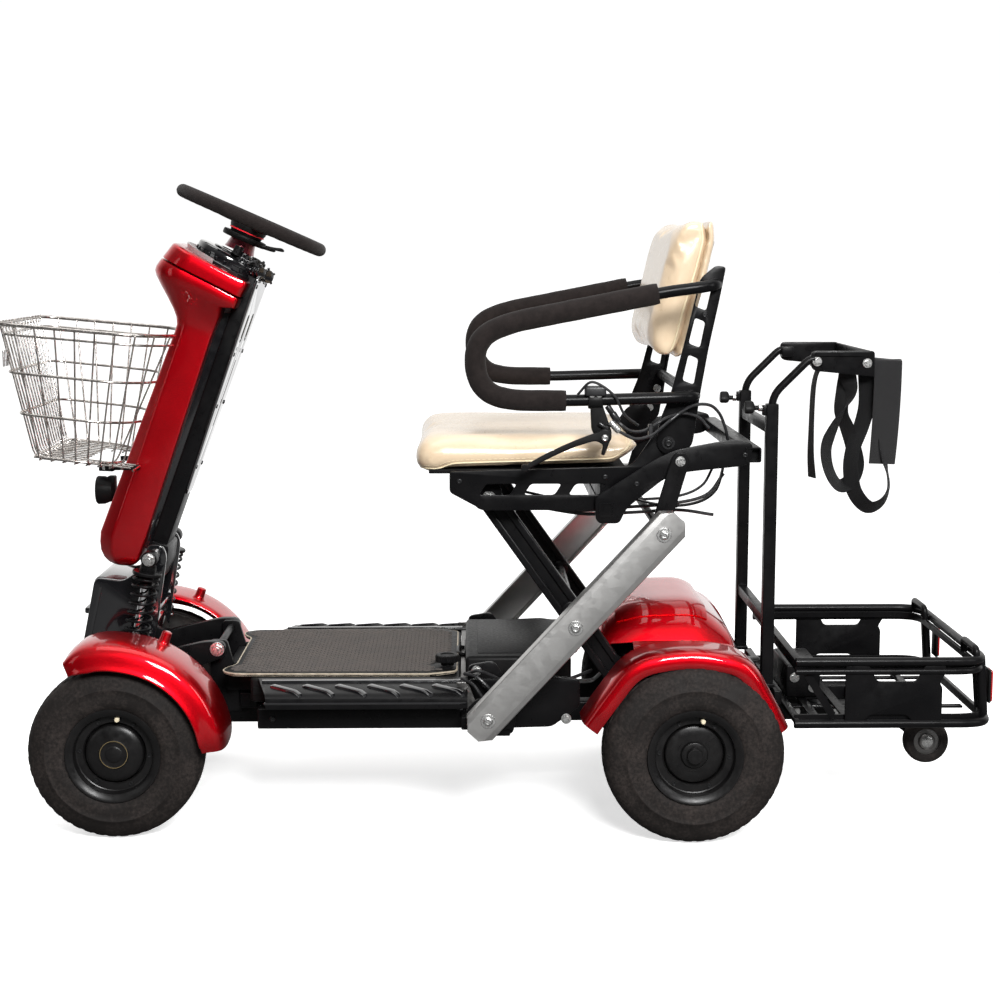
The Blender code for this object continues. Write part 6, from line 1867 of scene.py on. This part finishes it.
# --- anti-tip wheels
kit = Kit()
kit.rod((692, -119, 111), (692, 119, 111), 5.9, mat=2)
for sign in (-1, 1):
    centre, outward = (692, 0, 111), (0, sign, 0)
    kit.turn("""20 104.2, 29 103.6, 31.5 104.6, 33.4 106.8, 34 110, 34 118, 33.4 121.2,
        31.5 123.4, 29 124.4, 20 123.8""", centre, outward, steps=72, close=True)
    kit.turn("""6 102, 11 102, 12 103, 13 106, 19 107, 20.6 105, 20.6 123, 19 121, 13 122,
        12 125, 11 126, 6 126""", centre, outward, steps=48, mat=1, close=True)
    kit.turn("0 125.4, 8.6 125.4, 8.6 126.4, 7.6 127, 0 127.2", centre, outward, steps=24,
             mat=2)
kit.make("anti_tip_rollers", [TYRE, GREY, ZINC], "anti_tip", "tyre_rubber", "anti_tip_wheels")

# --- padded cushions
CLOTH = dict(quality=5, mass=0.3, tension_stiffness=18, compression_stiffness=18,
             shear_stiffness=8, bending_stiffness=1.2, use_pressure=True)
CLOTH_FRAMES = 20


def swell(ob, pressure):
    """Inflate the object as cloth and return its new vertex places."""
    scene = bpy.context.scene
    scene.frame_set(1)
    cloth = ob.modifiers.new("cloth", 'CLOTH')
    for key, value in CLOTH.items():
        setattr(cloth.settings, key, value)
    cloth.settings.uniform_pressure_force = pressure
    cloth.settings.effector_weights.gravity = 0.0
    cloth.point_cache.frame_start = 1
    cloth.point_cache.frame_end = CLOTH_FRAMES
    for i in range(1, CLOTH_FRAMES + 1):
        scene.frame_set(i)
    evaluated = ob.evaluated_get(bpy.context.evaluated_depsgraph_get())
    places = [v.co.copy() for v in evaluated.to_mesh().vertices]
    evaluated.to_mesh_clear()
    ob.modifiers.remove(cloth)
    scene.frame_set(1)
    return places


def pillow(kit, name, body, stands, pressure, travel, voxel, clamp):
    """Remesh the closed form, let it swell, cap the travel, clamp, then smooth."""
    mesh = bpy.data.meshes.new(name)
    mesh.from_pydata([metres(p) for p in kit.verts], [], kit.faces)
    bm = bmesh.new()
    bm.from_mesh(mesh)
    bmesh.ops.remove_doubles(bm, verts=bm.verts, dist=0.00001)
    bmesh.ops.recalc_face_normals(bm, faces=bm.faces)
    bm.to_mesh(mesh)
    bm.free()
    ob = bpy.data.objects.new(name, mesh)
    bpy.context.scene.collection.objects.link(ob)
    remesh = ob.modifiers.new("remesh", 'REMESH')
    remesh.mode = 'VOXEL'
    remesh.voxel_size = voxel * MM
    mesh = evaluated_mesh(ob)
    ob.modifiers.clear()
    ob.data = mesh
    bm = bmesh.new()
    bm.from_mesh(mesh)
    for _ in range(4):
        bmesh.ops.smooth_vert(bm, verts=bm.verts, factor=0.5, use_axis_x=True, use_axis_y=True,
                              use_axis_z=True)
    bm.to_mesh(mesh)
    bm.free()
    mesh.update()
    rest = [v.co.copy() for v in mesh.vertices]
    swollen = swell(ob, pressure)
    limit = travel * MM
    for vertex, start, end in zip(mesh.vertices, rest, swollen):
        move = end - start
        if move.length > limit:
            move = move.normalized() * limit
        vertex.co = clamp(start + move)
    mesh.update()
    mesh.materials.clear()
    mesh.materials.append(VINYL)
    smooth = ob.modifiers.new("sub", 'SUBSURF')
    smooth.levels = 1
    smooth.render_levels = 1
    final = evaluated_mesh(ob)
    ob.modifiers.clear()
    ob.data = final
    final.shade_smooth()
    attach(ob, body)
    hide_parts(*stands)
    return ob


def skin_of(ob):
    return BVHTree.FromPolygons([v.co.copy() for v in ob.data.vertices],
                                [tuple(f.vertices) for f in ob.data.polygons])


def relax(points, times=2):
    """Smooth a closed loop."""
    count = len(points)
    for _ in range(times):
        points = [(points[i - 1] + points[i] * 2 + points[(i + 1) % count]) / 4
                  for i in range(count)]
    return points


# --- seat cushion: a crowned slab
def plan_ring(front, rear, half, front_cut, rear_cut, steps=8):
    return soften([(front, -half), (rear, -half), (rear, half), (front, half)],
                  [front_cut, rear_cut, rear_cut, front_cut], steps)


def seat_bottom(x):
    if x < -32:
        return 532.5 + max(0.0, x + 60) * 0.27
    if x < 214:
        return 539.0 + (x + 79) * 8.0 / 293.0
    return 547.0 + (x - 214) * 0.62


def seat_clamp(place):
    place.z = max(place.z, (seat_bottom(place.x / MM - SHIFT_X) + 0.2) * MM)
    place.z = min(place.z, 0.5905)
    place.y = max(-0.2195, min(0.2195, place.y))
    place.x = max((-92.5 + SHIFT_X) * MM, min((254 + SHIFT_X) * MM, place.x))
    return place


kit = Kit()
rings = []
for inset, share in ((22, 0.02), (8, 0.05), (2.0, 0.18), (1.0, 0.40), (2.0, 0.62), (6.5, 0.82),
                     (14, 0.95), (30, 1.0), (80, 1.03), (140, 1.04)):
    ring = []
    for x, y in plan_ring(-87 + inset, 250 - inset, 214 - inset, max(40 - inset * 0.3, 6),
                          max(34 - inset * 0.3, 6)):
        bottom = seat_bottom(x) + 1.0
        ring.append((x, y, bottom + (579.0 - bottom) * share))
    rings.append(ring)
kit.loft(rings)
seat = pillow(kit, "seat_cushion_pad", "seat", ["seat_cushion"], pressure=4.0, travel=8.0,
              voxel=5.5, clamp=seat_clamp)
seat_skin = skin_of(seat)
seat_ring = plan_ring(-88, 254, 219, 40, 34, 12)
seat_ring = densify(seat_ring[-1:] + seat_ring, 8)[:-1]


def seat_loop(rise, lift):
    """Loop on the cushion's flank, rise above its bottom and lift off its skin."""
    out = []
    for x, y in seat_ring:
        # aim at the nearest point of a rectangle inside the cushion
        inward = Vector((max(-10, min(180, x)) - x, max(-150, min(150, y)) - y, 0)).normalized()
        start = Vector((x, y, seat_bottom(x) + rise)) - inward * 60
        place, normal, _, _ = seat_skin.ray_cast(Vector(metres(start)), inward)
        if place is not None:
            out.append(millimetres(place) + normal * lift)
    return relax(out)


kit = Kit()
kit.sweep(seat_loop(rise=7, lift=0.4), 1.15, cyclic=True)
# stitch line just above the piping
stitch_line = seat_loop(rise=11.2, lift=0.15)
for i, start in enumerate(stitch_line):
    span = stitch_line[(i + 1) % len(stitch_line)] - start
    count = max(1, int(span.length / 4.2))
    for j in range(count):
        first, last = start + span * (j / count), start + span * ((j + 0.6) / count)
        kit.sweep([first, (first + last) / 2, last], oval(0.42, 5))
kit.make("seat_cushion_piping", [PIPING], "seat", "cream_vinyl", sharp=60)

# --- backrest: a thick front pad and a narrow rear roll; side outlines in (x, z, cut)
FRONT_PAD = """265 704 12, 263 728 14, 302 881 16, 316 895.5 14, 338 895.5 8, 343 866 12,
    327 802 20, 299 710 16, 289 694 8, 277 695 8"""
REAR_ROLL = """293 695 4, 303 716 10, 329 802 20, 344 866 10, 342 894.5 4, 349 895 4,
    352.5 867 10, 337.5 801 20, 308 702 8, 300 694 4"""
# (share of the half width, share of the section) from an end towards the middle
PAD_END = [(1, 0.62), (0.985, 0.78), (0.95, 0.9), (0.9, 0.955), (0.8, 0.985), (0.5, 1)]
PAD_STATIONS = [(-y, size) for y, size in PAD_END] + [(0, 1)] + PAD_END[::-1]


def back_pad(outline):
    kit = Kit()
    section = rounded(outline, 5)
    centre_x = Vector((sum(p[0] for p in section) / len(section), 0)).x
    centre_z = Vector((sum(p[1] for p in section) / len(section), 0)).x
    rings = []
    for y, size in PAD_STATIONS:
        ring = []
        for x, z in section:
            # the section shrinks less in height than in depth
            place = Vector((centre_x + (x - centre_x) * (0.3 + 0.7 * size),
                            centre_z + (z - centre_z) * (0.86 + 0.14 * size)))
            ring.append((place.x, y * 166, place.y))
        rings.append(ring)
    kit.loft(rings)
    return kit


def back_clamp(place):
    place.z = max(0.6895, min(0.8975, place.z))
    place.y = max(-0.172, min(0.172, place.y))
    place.x = min(place.x, (352.5 + SHIFT_X) * MM)
    return place


front_pad = pillow(back_pad(FRONT_PAD), "backrest_front_pad", "backrest",
                   ["backrest_cushion"], pressure=4.0, travel=7.0, voxel=5.0, clamp=back_clamp)
pillow(back_pad(REAR_ROLL), "backrest_rear_roll", "backrest", ["backrest_cushion"],
       pressure=3.0, travel=2.0, voxel=4.0, clamp=back_clamp)

# piping over the joint between the two, up one side, over the top and down the other
kit = Kit()
flank = [Vector((x, -168, z)) for x, z in (p[:2] for p in spline(
    "291 697, 300.5 718, 327 802, 341.6 862, 340 884", 6))]
flank += [Vector((339, -166, 889)), Vector((338.5, -160, 892.5))]
top = [Vector((338, y, 894.6 - 3 * (abs(y) / 164) ** 6)) for y in range(-150, 151, 10)]
other = [Vector((p.x, -p.y, p.z)) for p in reversed(flank)]
front_skin = skin_of(front_pad)
fitted = []
for point in relax(flank + top + other, 1)[1:-1]:
    place = Vector(metres(point))
    nearest, normal, _, distance = front_skin.find_nearest(place)
    if nearest is not None and distance < 0.025:
        place = nearest + normal * 0.0004
    fitted.append(millimetres(place))
kit.sweep(relax(fitted), 1.5, ends='round')
# plate behind the cushion
kit.plate(soften(table("304 700, 307 694, 342 800, 357 862, 355 868, 338 803"), 3, 3),
          -120, 120, bevel=1, mat=1)
kit.make("backrest_piping", [PIPING, PLASTIC], "backrest", "cream_vinyl", sharp=50)

# --- floor: white to the camera, darker as a bounce, and glowing in the distance
mesh = bpy.data.meshes.new("floor")
mesh.from_pydata([(-40, -12, 0), (40, -12, 0), (40, 60, 0), (-40, 60, 0)], [], [(0, 1, 2, 3)])
floor = bpy.data.objects.new("floor", mesh)
bpy.context.scene.collection.objects.link(floor)
floor_material = bpy.data.materials.new("floor_white")
floor_material.use_nodes = True
tree = floor_material.node_tree
shader = tree.nodes["Principled BSDF"]
for key, value in {"Base Color": (0.93, 0.93, 0.93, 1), "Roughness": 0.85,
                   "Specular IOR Level": 0.1, "Emission Color": (1, 1, 1, 1)}.items():
    shader.inputs[key].default_value = value
camera_ray = add_node(tree, "LightPath").outputs["Is Camera Ray"]
floor_color = add_node(tree, "Mix", {0: camera_ray, 6: (0.16, 0.16, 0.16, 1),
                                     7: (0.93, 0.93, 0.93, 1)}, data_type='RGBA')
tree.links.new(floor_color.outputs[2], shader.inputs["Base Color"])
seen_glow = add_node(tree, "Math", {0: camera_ray, 1: 0.62}, operation='MULTIPLY')
position = add_node(tree, "SeparateXYZ", {0: add_node(tree, "NewGeometry").outputs["Position"]})
far_glow = add_node(tree, "MapRange", {"Value": position.outputs["Y"], "From Min": 0.9,
                                       "From Max": 2.6, "To Min": 0.0, "To Max": 0.85})
glow = add_node(tree, "Mix", {0: camera_ray, 2: far_glow.outputs[0], 3: seen_glow.outputs[0]},
                data_type='FLOAT')
tree.links.new(glow.outputs[0], shader.inputs["Emission Strength"])
mesh.materials.append(floor_material)

# --- world: white to the camera; its light comes from behind (+Y) and from above
world = bpy.data.worlds.new("studio")
bpy.context.scene.world = world
world.use_nodes = True
tree = world.node_tree
for node in list(tree.nodes):
    tree.nodes.remove(node)
sky = add_node(tree, "SeparateXYZ", {0: add_node(tree, "TexCoord").outputs["Generated"]})
from_behind = add_node(tree, "MapRange", {"Value": sky.outputs["Y"], "From Min": 0.0,
                                          "From Max": 0.55, "To Min": 0.03, "To Max": 1.0})
from_above = add_node(tree, "MapRange", {"Value": sky.outputs["Z"], "From Min": 0.3,
                                         "From Max": 0.9, "To Min": 0.0, "To Max": 0.35})
strength = add_node(tree, "Math", {0: from_behind.outputs[0], 1: from_above.outputs[0]},
                    operation='ADD')
lit = add_node(tree, "Background", {"Color": (1.0, 0.995, 0.985, 1),
                                    "Strength": strength.outputs[0]})
seen = add_node(tree, "Background", {"Color": (1, 1, 1, 1), "Strength": 1.02})
camera_ray = add_node(tree, "LightPath").outputs["Is Camera Ray"]
mixed = add_node(tree, "MixShader", {0: camera_ray, 1: lit.outputs[0], 2: seen.outputs[0]})
add_node(tree, "OutputWorld", {"Surface": mixed.outputs[0]}) if False else tree.links.new(
    mixed.outputs[0], add_node(tree, "OutputWorld").inputs["Surface"])


# --- lights and camera, in metres
def aim(ob, direction):
    ob.rotation_mode = 'QUATERNION'
    ob.rotation_quaternion = Vector(direction).to_track_quat('-Z', 'Y')


def softbox(name, place, target, width, height, power):
    light = bpy.data.lights.new(name, 'AREA')
    light.shape = 'RECTANGLE'
    light.size, light.size_y = width, height
    light.energy = power
    ob = bpy.data.objects.new(name, light)
    bpy.context.scene.collection.objects.link(ob)
    ob.location = place
    aim(ob, Vector(target) - Vector(place))


softbox("top_box", place=(0.0, -0.30, 2.7), target=(0, 0.05, 0.4), width=2.6, height=1.5,
        power=27)
softbox("key_box", place=(0.7, -3.5, 2.4), target=(0.0, 0, 0.5), width=1.3, height=0.9,
        power=218)
softbox("left_box", place=(-2.9, -2.0, 1.5), target=(-0.2, 0, 0.4), width=0.8, height=1.8,
        power=6)
softbox("right_box", place=(2.9, -2.1, 1.7), target=(0.2, 0, 0.4), width=0.8, height=1.8,
        power=24)

lens = bpy.data.cameras.new("camera")
camera = bpy.data.objects.new("camera", lens)
bpy.context.scene.collection.objects.link(camera)
lens.sensor_width = 36.0
lens.lens = 64.44
lens.clip_end = 200
camera.location = (-0.0437, -2.755, 0.849)
aim(camera, (0.01644, 0.99033, -0.13777))
bpy.context.scene.camera = camera
bpy.context.scene.view_settings.view_transform = 'Standard'
